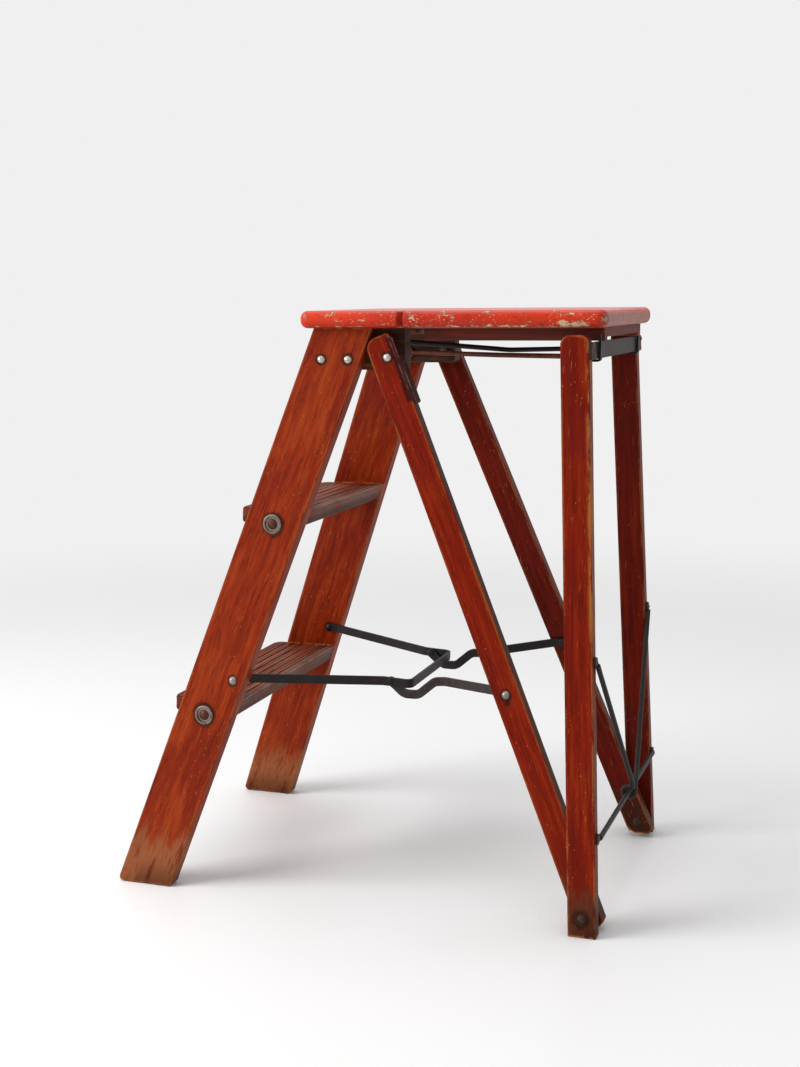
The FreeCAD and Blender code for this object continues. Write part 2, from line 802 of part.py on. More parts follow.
def rear_leg(body):
    leg_board(body, ("0", "rear_leg_top"), leg_out, "leg_side", leg_y, "leg_half_depth")
    rounded(body, "Fillet", "rear_leg_rounding",
            lambda edge: across(edge) and middle(edge).z > size("rear_leg_top") - size("leg_rounding"))
    rounded(body, "Fillet", "leg_rounding", along)
    bore(body, (f"{leg_out(FOOT)} - 2 * leg_side", f"{leg_out(FOOT)} + leg_side"), "foot_pivot", FOOT)
    seat(body, leg_out(FOOT), "leg_spread", "foot_pivot", FOOT)
    bar_x(body, "Subtractive", "foot_washer_radius + running_gap",
          (f"{leg_out(FOOT)} - 2 * leg_side", leg_spot), "foot_pivot", FOOT)
    for x, z in rear_edge_holes:
        edge_hole(body, handed(body, x), edge_y(z), z)
    return body


# Foot pivots
leg_face = seat_x(leg_out(FOOT), "leg_spread")
prop_face = seat_x(prop_out(FOOT), "prop_spread", "foot_washer_radius")
prop_back = f"({prop_out(FOOT)} - prop_side - rivet_end_radius * prop_spread)"
foot_rivet = fastener("foot_rivet", f"{leg_face} + running_gap - {prop_back}")
copies("foot_rivets", foot_rivet, both_sides(f"{leg_face} + running_gap", "foot_pivot", FOOT))
spacer = ring("foot_spacer", "foot_washer_radius", f"{leg_spot} - running_gap - {prop_face}")
copies("foot_spacers", spacer, both_sides(prop_face, "foot_pivot", FOOT))


# Screws in the rear edges of the rear legs
def edge_y(z):
    return f"({leg_y(z)} + leg_half_depth)"


def edge_screw(name, under):
    """A round-headed screw that points to -Y, its head's flat at the origin."""
    body = new_body(name)
    feature(body, "AdditiveCylinder", {"Radius": "screw_radius", "Height": f"screw_length + {under}"},
            axis=(1, 0, 0), angle="90")
    ball = "((screw_head_radius ^ 2 + screw_head_height ^ 2) / (2 * screw_head_height))"
    feature(body, "AdditiveSphere",
            {"Radius": ball, "Angle1": f"asin(({ball} - screw_head_height) / {ball})"},
            y=f"screw_head_height - {ball}", axis=(-1, 0, 0), angle="90")
    return body


def edge_hole(body, x, y, z, depth="screw_length"):
    feature(body, "SubtractiveCylinder", {"Radius": "screw_radius + shank_play", "Height": f"2 * ({depth})"},
            x=x, y=f"{y} + ({depth})", z=z, axis=(1, 0, 0), angle="90")


# Cross bar
BAR = "cross_bar_level"
bar = new_body("cross_bar")
feature(bar, "AdditiveBox",
        {"Length": "2 * bar_half_length", "Width": "cross_bar_thickness", "Height": "cross_bar_height"},
        x="-bar_half_length", y="bar_front + cross_bar_height / 2 * sin(rear_leg_lean)",
        z="cross_bar_level - cross_bar_height / 2 * cos(rear_leg_lean)", axis=(1, 0, 0), angle="rear_leg_lean")
rounded(bar, "Fillet", "cross_bar_thickness / 5", across)
bar_screws = []
for side in ("", "-"):
    for inset, rise in (("cross_bar_screw_inset - cross_bar_screw_spread / 2", "cross_bar_screw_spread"),
                        ("cross_bar_screw_inset + cross_bar_screw_spread / 2", "-cross_bar_screw_spread")):
        edge = f"{edge_y(BAR)} - ({rise}) * leg_slope + cross_bar_thickness / cos(rear_leg_lean)"
        place = {"x": f"{side}(bar_half_length - ({inset}))",
                 "y": f"{edge} + screw_head_radius * leg_slope",
                 "z": f"cross_bar_level + ({rise})"}
        bar_screws.append(place)
        edge_hole(bar, place["x"], place["y"], place["z"])
        if not side:
            rear_edge_holes.append((place["x"], place["z"]))
keep("cross_bar", bar)
copies("cross_bar_screws", edge_screw("bar_screw", "cross_bar_thickness"), bar_screws)


# Bent rods and straps
def bent(points, face, bends):
    """A bar of the face's section along the runs between the points, with a round bend at each."""
    pieces = []
    here = points[0]
    for index, corner in enumerate(points[1:], start=1):
        way = Vector(corner - here).normalize()
        last = index == len(points) - 1
        onward = way if last else Vector(points[index + 1] - corner).normalize()
        turn = way.getAngle(onward)
        setback = 0.0 if last else bends[index - 1] * math.tan(turn / 2)
        run = corner - here - way * setback
        pieces.append(face.extrude(run))
        face = face.translated(run)
        if not last:
            axis = way.cross(onward).normalize()
            hub = here + run + axis.cross(way) * bends[index - 1]
            pieces.append(face.revolve(hub, axis, math.degrees(turn)))
            face = face.rotated(hub, axis, math.degrees(turn))
            here = corner + onward * setback
    return pieces[0].multiFuse(pieces[1:]).removeSplitter()


def disc(centre, way, radius):
    return Part.Face(Part.Wire(Part.makeCircle(radius, centre, way)))


def drum(radius, thickness, start, way):
    return Part.makeCylinder(radius, thickness, start, way)


def solid_feature(node, shape):
    """A sub-part whose shape is worked out here from the sheet."""
    piece = doc.addObject("Part::Feature", node + "_form")
    piece.Shape = shape
    return keep(node, piece)


READINGS = []


def value(text):
    """A formula's present value, through a property that is bound to it."""
    name = f"reading_{len(READINGS)}"
    layout.addProperty("App::PropertyFloat", name, "Readings")
    layout.setExpression(name, formula(text))
    layout.recompute()
    READINGS.append(name)
    return getattr(layout, name)


# Where a rod begins in its eye, as a share of the eye's radius
EYE_JOIN = 0.75


# Braces behind the rear legs: a straight rod, and a bent one that loops round it
def brace_eye(x, z, toward):
    """A flattened and bored end on a leg's rear edge, and where the rod's line starts from it."""
    y = value(f"leg_foot - (({z}) - brace_eye_radius) * leg_slope + leg_half_depth")
    thick = size("brace_eye_thickness")
    centre = Vector(x, y, size(z))
    plate = drum(size("brace_eye_radius"), thick, centre, Vector(0, 1, 0))
    hole = drum(value("screw_radius + shank_play"), 2 * thick, centre - Vector(0, thick / 2, 0),
                Vector(0, 1, 0))
    start = centre + Vector(0, value("brace_radius + shank_play"), 0)
    way = Vector(toward.x - start.x, 0, toward.z - start.z).normalize()
    return plate, hole, start + way * (size("brace_eye_radius") * EYE_JOIN)


def with_eyes(rod, eyes):
    shape = rod.multiFuse([plate for plate, hole, start in eyes])
    for plate, hole, start in eyes:
        shape = shape.cut(hole)
    return shape.removeSplitter()


def leg_middle(z):
    return f"({leg_out(z)} - leg_side / 2)"


brace_low_x, brace_high_x = value(leg_middle("brace_height")), value(leg_middle("brace_top"))
brace_r = size("brace_radius")
middle_low = Vector(0, 0, size("brace_height"))
low_eyes = [brace_eye(side * brace_low_x, "brace_height", middle_low) for side in (-1, 1)]
left_end, right_end = [eye[2] for eye in low_eyes]
straight = bent([left_end, right_end], disc(left_end, Vector(1, 0, 0), brace_r), [])
solid_feature("brace_rod", with_eyes(straight, low_eyes))

loop = value("2 * brace_radius + 3 * running_gap")
loop_y = left_end.y
loop_z = size("brace_height")
pitch = value("brace_radius + running_gap")
high_eyes = [brace_eye(side * brace_high_x, "brace_top", middle_low) for side in (-1, 1)]
turns = [Vector(-pitch, loop_y + loop, loop_z - loop), Vector(-pitch / 2, loop_y - loop, loop_z - loop),
         Vector(pitch / 2, loop_y - loop, loop_z + loop), Vector(pitch, loop_y + loop, loop_z + loop)]
v_points = [high_eyes[0][2]] + turns + [high_eyes[1][2]]
way_in = Vector(v_points[1] - v_points[0]).normalize()
loop_bend = value("2 * brace_radius + 2 * running_gap")
v_rod = bent(v_points, disc(v_points[0], way_in, brace_r), [loop_bend] * len(turns))
solid_feature("brace_v_rod", with_eyes(v_rod, high_eyes))
brace_screws = []
for z in ("brace_height", "brace_top"):
    for side in ("", "-"):
        brace_screws.append({"x": f"{side}{leg_middle(z)}", "z": z,
                             "y": f"{edge_y(z)} + brace_eye_radius * leg_slope + brace_eye_thickness"})
    rear_edge_holes.append((leg_middle(z), z))
copies("brace_screws", edge_screw("brace_screw", "brace_eye_thickness"), brace_screws)
pair("rear_leg", rear_leg)


# Battens under the rear board
def below_board(edge):
    return middle(edge).z < value("underside - leg_rounding")


def batten(body):
    slab(body, "Additive", ("batten_inner", "batten_inner + batten_width"), ("batten_front", "batten_rear"),
         ("underside - batten_height", "underside"))
    rounded(body, "Fillet", "leg_rounding", below_board)
    for y in BATTEN_SCREWS:
        screw_hole(body, handed(body, BATTEN_MIDDLE), y, "underside - batten_height",
                   "screw_head_radius", "batten_screw_length")
    return body


BATTEN_MIDDLE = "batten_inner + batten_width / 2"
BATTEN_SCREWS = ("batten_front + batten_screw_inset", "(batten_front + batten_rear) / 2",
                 "batten_rear - batten_screw_inset")
pair("side_batten", batten)

rear_batten = new_body("rear_batten")
slab(rear_batten, "Additive", ("-batten_inner", "batten_inner"),
     ("batten_rear - rear_batten_width", "batten_rear"), ("underside - rear_batten_height", "underside"))
rounded(rear_batten, "Fillet", "leg_rounding", lambda edge: across(edge) and below_board(edge))
batten_screws = []
for side in ("", "-"):
    for y in BATTEN_SCREWS:
        batten_screws.append({"x": f"{side}({BATTEN_MIDDLE})", "y": y, "z": "underside - batten_height"})
    place = {"x": f"{side}batten_inner / 2", "y": "batten_rear - rear_batten_width / 2",
             "z": "underside - rear_batten_height"}
    screw_hole(rear_batten, place["x"], place["y"], place["z"], "screw_head_radius", "batten_screw_length")
    batten_screws.append(place)
keep("rear_batten", rear_batten)
for place in batten_screws:
    screw_hole(rear_board, place["x"], place["y"], place["z"], "screw_head_radius", "batten_screw_length")
batten_screw = wood_screw("batten_screw", "screw_head_radius", "batten_screw_length")
copies("batten_screws", batten_screw, batten_screws)

# Butt hinges between the two boards
HINGE_SCREW_Y = "hinge_leaf_length * 2 / 3"


def hinge_leaf(name, front):
    """Half a hinge about its pin at the origin: the front half has the two outer knuckles."""
    body = new_body(name)
    sign = "-" if front else ""
    third = "hinge_width / 6"
    edge = f"{third} + running_gap / 2"
    far, near = f"{sign}hinge_leaf_length", f"{sign}(hinge_knuckle_radius + 2 * running_gap)"
    plate_y = (far, near) if front else (near, far)
    top = "hinge_knuckle_radius + running_gap"
    plate_z = (f"{top} - hinge_leaf_thickness", top)
    slab(body, "Additive", ("-hinge_width / 2", "hinge_width / 2"), plate_y, plate_z)
    spans = [(edge, "hinge_width / 2"), ("-hinge_width / 2", f"-({edge})")]
    if not front:
        spans = [(f"-({third} - running_gap / 2)", f"{third} - running_gap / 2")]
    for span in spans:
        slab(body, "Additive", span, (near, "0") if front else ("0", near),
             (plate_z[0], "hinge_knuckle_radius - hinge_leaf_thickness / 8"))
        bar_x(body, "Additive", "hinge_knuckle_radius", span, "0", "0")
    bore(body, ("-hinge_width", "hinge_width"), "0", "0", "hinge_pin_radius + shank_play")
    for side in ("", "-"):
        screw_hole(body, f"{side}hinge_screw_spread", f"{sign}{HINGE_SCREW_Y}", plate_z[0],
                   "hinge_screw_head", "hinge_screw_length")
    return body


hinge_places = [{"x": f"{side}hinge_offset", "y": "gap_middle", "z": "hinge_level"} for side in ("", "-")]
copies("hinge_leaves_front", hinge_leaf("leaf_front", True), hinge_places)
copies("hinge_leaves_rear", hinge_leaf("leaf_rear", False), hinge_places)
pin = new_body("hinge_pin")
bar_x(pin, "Additive", "hinge_pin_radius", ("-hinge_width / 2 - hinge_pin_radius / 2",
                                            "hinge_width / 2 + hinge_pin_radius / 2"), "0", "0")
for turned in (False, True):
    pin_end = f"{'-' if turned else ''}(hinge_width / 2)"
    cap(pin, "hinge_knuckle_radius * 2 / 3", "hinge_pin_radius", pin_end, turned)
copies("hinge_pins", pin, hinge_places)
hinge_screw = wood_screw("hinge_screw", "hinge_screw_head", "hinge_screw_length")
leaf_foot = "hinge_level + hinge_knuckle_radius + running_gap - hinge_leaf_thickness"
for node, sign, plank_body in (("hinge_screws_front", "-", front_board),
                               ("hinge_screws_rear", "+", rear_board)):
    places = [{"x": f"{side}(hinge_offset {spread} hinge_screw_spread)",
               "y": f"gap_middle {sign} {HINGE_SCREW_Y}", "z": leaf_foot}
              for side in ("", "-") for spread in "+-"]
    for place in places:
        screw_hole(plank_body, place["x"], place["y"], place["z"], "hinge_screw_head", "hinge_screw_length")
    copies(node, hinge_screw, places)

# Stay rods: an eye on the rear stile rivet, a run under the board and a hook behind the cross bar
# Each row of shares: across from the middle to the eye, back from the eye to the bar, up in stay rises
STAY_LEFT_SHARES = ((0.96, 0.10, 0.92), (-0.07, 0.55, 0.30), (-0.92, 0.89, 0.30))
STAY_RIGHT_SHARES = ((0.97, 0.08, 0.01), (0.02, 0.51, 0.04), (-0.74, 0.83, 0.11))


def flat_face(centre, way, width, thick):
    """The section of a flat bar, square to its way, level across X."""
    flat = Vector(1, 0, 0)
    up = flat.cross(way).normalize()
    corners = [centre + flat * (width / 2 * off) + up * (thick / 2 * rise)
               for off, rise in ((-1, -1), (-1, 1), (1, 1), (1, -1))]
    return Part.Face(Part.makePolygon(corners + corners[:1]))


def stay_hook(low, entry, behind, hook_top):
    """The rod's flattened end: down to the bar's lower edge, under it and up behind it."""
    start = entry + (low - entry) * FLAT_START
    points = [start, low, Vector(low.x, behind, low.z), Vector(low.x, behind, hook_top)]
    way = Vector(low - start).normalize()
    face = flat_face(start, way, size("stay_flat_width"), size("stay_flat_thickness"))
    return bent(points, face, [size("stay_flat_bend")] * 2)


def stay_rod(node, side, shares, hook_top):
    radius = size("stay_radius")
    eye_out = value("cleat_inner - running_gap")
    eye = Vector(side * (eye_out - radius), size("rivet_rear"), size(HEAD))
    reach = size("bar_front") - eye.y
    points = [eye + Vector(side * (share_x - 1) * abs(eye.x), share_y * reach, share_z * size("stay_rise"))
              for share_x, share_y, share_z in shares]
    low = Vector(-side * size("stay_hook_x"), value("bar_front - stay_flat_reach"),
                 value("bar_low - stay_flat_thickness / 2 - 2 * running_gap"))
    behind = value("bar_front + cross_bar_thickness + cross_bar_height / 2 * leg_slope"
                   " + stay_flat_thickness / 2 + 2 * running_gap")
    entry = low + Vector(0, -size("stay_dip"), size("stay_dip") * ENTRY_SLOPE)
    way = Vector(points[0] - eye).normalize()
    start = eye + way * (size("stay_eye_radius") * EYE_JOIN)
    run = [start] + points + [entry, entry + (low - entry) * FLAT_JOIN]
    rod = bent(run, disc(start, way, radius), [size("stay_bend")] * (len(run) - 2))
    rod = rod.fuse(stay_hook(low, entry, behind, hook_top))
    thick = size("stay_eye_thickness")
    outward = Vector(side, 0, 0)
    face = Vector(side * (eye_out - thick), eye.y, eye.z)
    plate = drum(size("stay_eye_radius"), thick, face, outward)
    hole = drum(value("shank_radius + shank_play"), 3 * thick, face - outward * thick, outward)
    slice_off = drum(2 * size("stay_eye_radius"), radius, Vector(side * eye_out, eye.y, eye.z), outward)
    shape = rod.fuse(plate).cut(hole).cut(slice_off).removeSplitter()
    return solid_feature(node, shape)


# Along the rod's last run: where its flat begins, where the round ends, and how steep the run is
FLAT_START, FLAT_JOIN, ENTRY_SLOPE = 0.45, 0.7, 0.8
stay_rod("stay_rod_left", 1, STAY_LEFT_SHARES, value("underside - 5 * running_gap"))
stay_rod("stay_rod_right", -1, STAY_RIGHT_SHARES, value("bar_low + stay_hook_height"))

# Spreader: a front strap bent to a U, and two rear arms that hang from it
strap_h, strap_t = size("strap_height"), size("strap_thickness")
strap_front = value(f"{stile_out('(spreader_height + strap_height)')} - stile_side - running_gap"
                    " - strap_thickness / 2")
strap_middle = value("strap_middle_outer - strap_thickness / 2")
front_pin = Vector(0, size("spreader_front_y"), size(SPREAD))
knee_pin = Vector(0, size("spreader_middle"), size("knee_height"))
rear_pin = Vector(0, size("spreader_rear_y"), size(REAR_SPREAD))
strap_way = Vector(knee_pin - front_pin).normalize()
strap_up = Vector(1, 0, 0).cross(strap_way)
knee_along = (knee_pin - front_pin).Length


def strap_face(centre, way, normal):
    """The section of a strap on edge, square to its way: tall along the normal."""
    flat = normal.cross(way).normalize()
    up = Vector(normal).normalize()
    corners = [centre + up * (strap_h / 2 * rise) + flat * (strap_t / 2 * off)
               for rise, off in ((-1, -1), (-1, 1), (1, 1), (1, -1))]
    return Part.Face(Part.makePolygon(corners + corners[:1]))


def strap_eye(centre):
    """A round end about a strap's end point, flat against what it turns on."""
    return drum(strap_h / 2, strap_t, centre - Vector(strap_t / 2, 0, 0), Vector(1, 0, 0))


def eye_bore(centre, side):
    return drum(value("shank_radius + shank_play"), 3 * strap_t,
                centre - Vector(side * 1.5 * strap_t, 0, 0), Vector(side, 0, 0))


def on_strap(x, along):
    """A point in the strap's plane, a distance along it from its front pins."""
    return front_pin + strap_way * along + Vector(x, 0, 0)


right_side = [on_strap(strap_front, 0), on_strap(strap_front, size("strap_eye_run")),
              on_strap(strap_middle, knee_along - size("strap_knee_run")),
              on_strap(strap_middle, knee_along + size("bridge_offset"))]
left_side = [Vector(-point.x, point.y, point.z) for point in reversed(right_side)]
u_points = right_side + left_side
side_bends = [size("strap_bend"), size("strap_bend"), 2 * size("strap_bend")]
u_strap = bent(u_points, strap_face(u_points[0], strap_way, strap_up), side_bends + side_bends[::-1])
for side in (1, -1):
    eye, knee = on_strap(side * strap_front, 0), on_strap(side * strap_middle, knee_along)
    u_strap = u_strap.fuse(strap_eye(eye)).cut(eye_bore(eye, side)).cut(eye_bore(knee, side))
solid_feature("spreader_strap", u_strap.removeSplitter())

arm_rear = value(f"{prop_out('(spreader_rear_height + strap_height / 2)')} - prop_side - arm_end_gap"
                 " - strap_thickness / 2")
arm_front = strap_middle - strap_t - value("arm_side_gap")
dip_out = Vector(arm_front, knee_pin.y + size("dip_exit"), knee_pin.z + size("dip_rise"))
arm_slope = (rear_pin.z - dip_out.z) / (rear_pin.y - dip_out.y)
last_bend = Vector(arm_rear, rear_pin.y - strap_h, rear_pin.z - strap_h * arm_slope)


def spreader_arm(node, side):
    """An arm that dips under the strap's bridge and then turns out to the prop."""
    def from_knee(y, z):
        return Vector(arm_front, knee_pin.y + y, knee_pin.z + z)

    dip, run = size("dip_depth"), size("arm_turn")
    points = [from_knee(0, 0), from_knee(size("dip_start"), -dip), from_knee(size("dip_end"), -dip), dip_out,
              dip_out + Vector(0, run, run * arm_slope), last_bend, Vector(arm_rear, rear_pin.y, rear_pin.z)]
    points = [Vector(side * point.x, point.y, point.z) for point in points]
    way = Vector(points[1] - points[0]).normalize()
    bends = [size("dip_bend")] * 3 + [size("strap_bend")] * 2
    shape = bent(points, strap_face(points[0], way, Vector(1, 0, 0).cross(way)), bends)
    for end in (points[0], points[-1]):
        shape = shape.fuse(strap_eye(end)).cut(eye_bore(end, side))
    return solid_feature(node, shape.removeSplitter())


spreader_arm("spreader_arm_left", 1)
spreader_arm("spreader_arm_right", -1)

# Spreader rivets
spread_seat = seat_x(stile_out(SPREAD), "stile_spread")
strap_inside = (f"({stile_out('(spreader_height + strap_height)')} - stile_side - strap_thickness"
                " - 2 * running_gap)")
copies("spreader_front_rivets", fastener("spreader_front_rivet", f"{spread_seat} - {strap_inside}"),
       both_sides(spread_seat, "spreader_front_y", SPREAD))
knee_out = "(strap_middle_outer + running_gap)"
knee_in = "(strap_middle_outer - 2 * strap_thickness - arm_side_gap - 2 * running_gap)"
knee = new_body("knee_rivet")
bar_x(knee, "Additive", "shank_radius", (f"{knee_in} - {knee_out}", "rivet_end_height / 2"), "0", "0")
cap(knee, "rivet_end_radius", "rivet_end_height", "0")
cap(knee, "rivet_end_radius", "rivet_end_height", f"{knee_in} - {knee_out}", turned=True)
copies("spreader_knee_rivets", knee, both_sides(knee_out, "spreader_middle", "knee_height"))
prop_seat = seat_x(prop_out(REAR_SPREAD), "prop_spread")
prop_inside = f"({prop_out('(spreader_rear_height + shank_radius)')} - prop_side)"
rear_rivet = fastener("spreader_rear_rivet", f"{prop_seat} - {prop_inside}", end=False)
copies("spreader_rear_rivets", rear_rivet, both_sides(prop_seat, "spreader_rear_y", REAR_SPREAD))
end_in = (f"({prop_out('(spreader_rear_height + strap_height / 2)')} - prop_side - arm_end_gap"
          " - strap_thickness)")
end_rivet = new_body("end_rivet")
bar_x(end_rivet, "Additive", "shank_radius", ("-rivet_end_height / 2", "strap_thickness"), "0", "0")
cap(end_rivet, "rivet_end_radius", "rivet_end_height", "0", turned=True)
copies("spreader_end_rivets", end_rivet, both_sides(end_in, "spreader_rear_y", REAR_SPREAD))


# Checks, then one file for each node
doc.recompute()
for piece in doc.Objects:
    if "Invalid" in piece.State or "Error" in piece.State:
        raise RuntimeError(f"{piece.Label} failed: {piece.State}")
for node, piece in NODES.items():
    if piece.Shape.isNull() or not piece.Shape.isValid():
        raise RuntimeError(f"{node} has no valid shape")
    piece.Shape.exportStep(f"parts/{node}.step")
    print(f"{node}: {len(piece.Shape.Solids)} solids, {piece.Shape.Volume:.0f} cubic mm")
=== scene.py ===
"""Looks of the folding step stool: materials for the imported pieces, floor, light and camera."""

import math

import bpy
from mathutils import Matrix, Vector


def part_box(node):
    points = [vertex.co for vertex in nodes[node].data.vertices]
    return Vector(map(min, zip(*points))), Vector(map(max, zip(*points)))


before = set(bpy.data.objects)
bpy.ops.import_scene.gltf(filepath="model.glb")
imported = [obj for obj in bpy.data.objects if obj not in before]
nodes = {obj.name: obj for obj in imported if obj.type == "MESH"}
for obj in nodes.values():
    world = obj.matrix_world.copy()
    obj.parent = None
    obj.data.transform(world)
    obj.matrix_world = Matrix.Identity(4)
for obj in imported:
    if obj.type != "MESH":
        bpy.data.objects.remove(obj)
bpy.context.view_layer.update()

# Ways that the grain runs: leans from upright in degrees, and turns in degrees about X, Y and Z
STILE_LEAN = 19.9
PROP_LEAN = -21.8
LEG_LEAN = -2.1
UPRIGHT = (0.0, 0.0, 0.0)
ALONG_X = (0.0, 90.0, 0.0)
ALONG_Y = (90.0, 0.0, 0.0)


def leaning(angle):
    return (angle, 0.0, 0.0)


# Colours are written as they look in a plain light, from 0 to 255
def shade(red, green, blue):
    def linear(value):
        value /= 255
        return value / 12.92 if value <= 0.04045 else ((value + 0.055) / 1.055) ** 2.4
    return (linear(red), linear(green), linear(blue), 1.0)


class Tree:
    """Shader nodes and sums of their values."""

    def __init__(self, tree):
        self.tree = tree
        self.tree.nodes.clear()

    def node(self, kind, **settings):
        made = self.tree.nodes.new(kind)
        for name, setting in settings.items():
            setattr(made, name, setting)
        return made

    def feed(self, socket, value):
        if isinstance(value, bpy.types.NodeSocket):
            self.tree.links.new(value, socket)
        else:
            socket.default_value = value

    def sum(self, operation, *values):
        made = self.node("ShaderNodeMath", operation=operation)
        for socket, value in zip(made.inputs, values):
            self.feed(socket, value)
        return made.outputs[0]

    def chain(self, operation, values):
        result = values[0]
        for value in values[1:]:
            result = self.sum(operation, result, value)
        return result

    def times(self, *values):
        return self.chain("MULTIPLY", values)

    def plus(self, *values):
        return self.chain("ADD", values)

    def largest(self, *values):
        return self.chain("MAXIMUM", values)

    def minus(self, first, second):
        return self.sum("SUBTRACT", first, second)

    def spread(self, value, width):
        """A value from 0 to 1 made to run over the width, with 0 in the middle."""
        return self.times(self.minus(value, 0.5), width)

    def length(self, first, second):
        return self.sum("SQRT", self.plus(self.times(first, first), self.times(second, second)))


class Graph(Tree):
    """A material's nodes round one Principled shader, in object coordinates."""

    def __init__(self, name):
        self.material = bpy.data.materials.new(name)
        self.material.use_nodes = True
        super().__init__(self.material.node_tree)
        self.output = self.node("ShaderNodeOutputMaterial")
        self.shader = self.node("ShaderNodeBsdfPrincipled")
        self.feed(self.output.inputs["Surface"], self.shader.outputs["BSDF"])
        own_space = self.node("ShaderNodeTexCoord")
        self.place = own_space.outputs["Object"]
        self.x, self.y, self.z = self.axes(self.place)
        _, self.rearward, self.upward = self.axes(own_space.outputs["Normal"])
        self.normal = self.node("ShaderNodeNewGeometry").outputs["Normal"]
        self.colour = None

    def axes(self, vector):
        parts = self.node("ShaderNodeSeparateXYZ")
        self.feed(parts.inputs[0], vector)
        return parts.outputs

    def ramp(self, value, low, high):
        """0 at low, 1 at high, smooth between; high may be the smaller."""
        made = self.node("ShaderNodeMapRange", interpolation_type="SMOOTHSTEP")
        rising = low < high
        for name, setting in (("Value", value), ("From Min", min(low, high)), ("From Max", max(low, high)),
                              ("To Min", 0.0 if rising else 1.0), ("To Max", 1.0 if rising else 0.0)):
            self.feed(made.inputs[name], setting)
        return made.outputs["Result"]

    def band(self, value, low, high, soft):
        """1 between low and high, falling off over the soft width."""
        return self.times(self.ramp(value, low - soft, low), self.ramp(value, high + soft, high))

    def mix(self, factor, first, second):
        made = self.node("ShaderNodeMix", data_type="RGBA")
        for socket, value in zip((made.inputs[0], made.inputs[6], made.inputs[7]), (factor, first, second)):
            self.feed(socket, value)
        return made.outputs[2]

    def tint(self, tone, *factors):
        """Lays the tone over the colour so far, as far as the factors' product goes."""
        self.colour = self.mix(self.times(*factors), self.colour, tone)

    def turned(self, turn, scale, shift=(0.0, 0.0, 0.0)):
        """The place turned by degrees about the axes and then scaled."""
        mapping = self.node("ShaderNodeMapping", vector_type="POINT")
        self.feed(mapping.inputs["Vector"], self.place)
        mapping.inputs["Rotation"].default_value = [math.radians(angle) for angle in turn]
        mapping.inputs["Location"].default_value = shift
        stretch = self.node("ShaderNodeVectorMath", operation="MULTIPLY")
        self.feed(stretch.inputs[0], mapping.outputs[0])
        self.feed(stretch.inputs[1], scale)
        return stretch.outputs[0]

    def noise(self, vector, scale=1.0, detail=4.0, roughness=0.55, distortion=0.0):
        made = self.node("ShaderNodeTexNoise")
        for name, value in (("Vector", vector), ("Scale", scale), ("Detail", detail),
                            ("Roughness", roughness), ("Distortion", distortion)):
            self.feed(made.inputs[name], value)
        return made.outputs["Fac"]

    def grain(self, turn, across, along, shift, **settings):
        """Noise drawn out along the turned Z."""
        return self.noise(self.turned(turn, (across, across, along), shift), **settings)

    def cells(self, vector, scale):
        """Distance from the nearest of scattered points, 0 at a point."""
        made = self.node("ShaderNodeTexVoronoi")
        self.feed(made.inputs["Vector"], vector)
        self.feed(made.inputs["Scale"], scale)
        return made.outputs["Distance"]

    def tones(self, value, *stops):
        made = self.node("ShaderNodeValToRGB")
        self.feed(made.inputs[0], value)
        elements = made.color_ramp.elements
        for element, (position, colour) in zip(elements, (stops[0], stops[-1])):
            element.position = position
            element.color = colour
        for position, colour in stops[1:-1]:
            elements.new(position).color = colour
        return made.outputs["Color"]

    def edges(self, radius, low, high):
        """1 along the sharp edges of the piece."""
        bevel = self.node("ShaderNodeBevel", samples=6)
        self.feed(bevel.inputs["Radius"], radius)
        dot = self.node("ShaderNodeVectorMath", operation="DOT_PRODUCT")
        self.feed(dot.inputs[0], bevel.outputs[0])
        self.feed(dot.inputs[1], self.normal)
        return self.ramp(self.minus(1.0, dot.outputs["Value"]), low, high)

    def near(self, point, low, high, ragged):
        """1 within the low distance of a line along X through the point, 0 beyond the high one."""
        distance = self.length(self.minus(self.y, point.y), self.minus(self.z, point.z))
        return self.ramp(self.minus(distance, self.spread(ragged, high)), high, low)

    def bump(self, height, strength, distance):
        made = self.node("ShaderNodeBump")
        for name, value in (("Strength", strength), ("Distance", distance), ("Height", height)):
            self.feed(made.inputs[name], value)
        self.feed(self.shader.inputs["Normal"], made.outputs[0])

    def set(self, **sockets):
        for name, value in sockets.items():
            self.feed(self.shader.inputs[name.replace("_", " ").title().replace("Ior", "IOR")], value)


# Fasteners of a group node lie further apart than this
FASTENER_REACH = 0.06

# Dark halos in the varnish: the radius that is all dark and the one where it ends
RIVET_HALO = (0.0056, 0.0085)
ARM_RIVET_HALO = (0.0056, 0.0090)
WASHER_HALO = (0.0118, 0.0160)
FOOT_RIVET_HALO = (0.0070, 0.0130)
RUN_HALO = (0.0015, 0.0060)
RUN_BELOW_RIVET = Vector((0.0, 0.002, -0.008))


def middles(node):
    """The middle of each separate fastener of a group node."""
    groups = []
    for vertex in nodes[node].data.vertices:
        for group in groups:
            if (vertex.co - group[0]).length < FASTENER_REACH:
                group.append(vertex.co.copy())
                break
        else:
            groups.append([vertex.co.copy()])
    found = []
    for group in groups:
        low = Vector([min(point[axis] for point in group) for axis in range(3)])
        high = Vector([max(point[axis] for point in group) for axis in range(3)])
        found.append((low + high) / 2)
    return found


def halos(names, radii, shift=Vector()):
    """A place and two radii for each fastener on the left side; the right side mirrors it."""
    return [(point + shift, *radii) for name in names for point in middles(name) if point.x > 0]


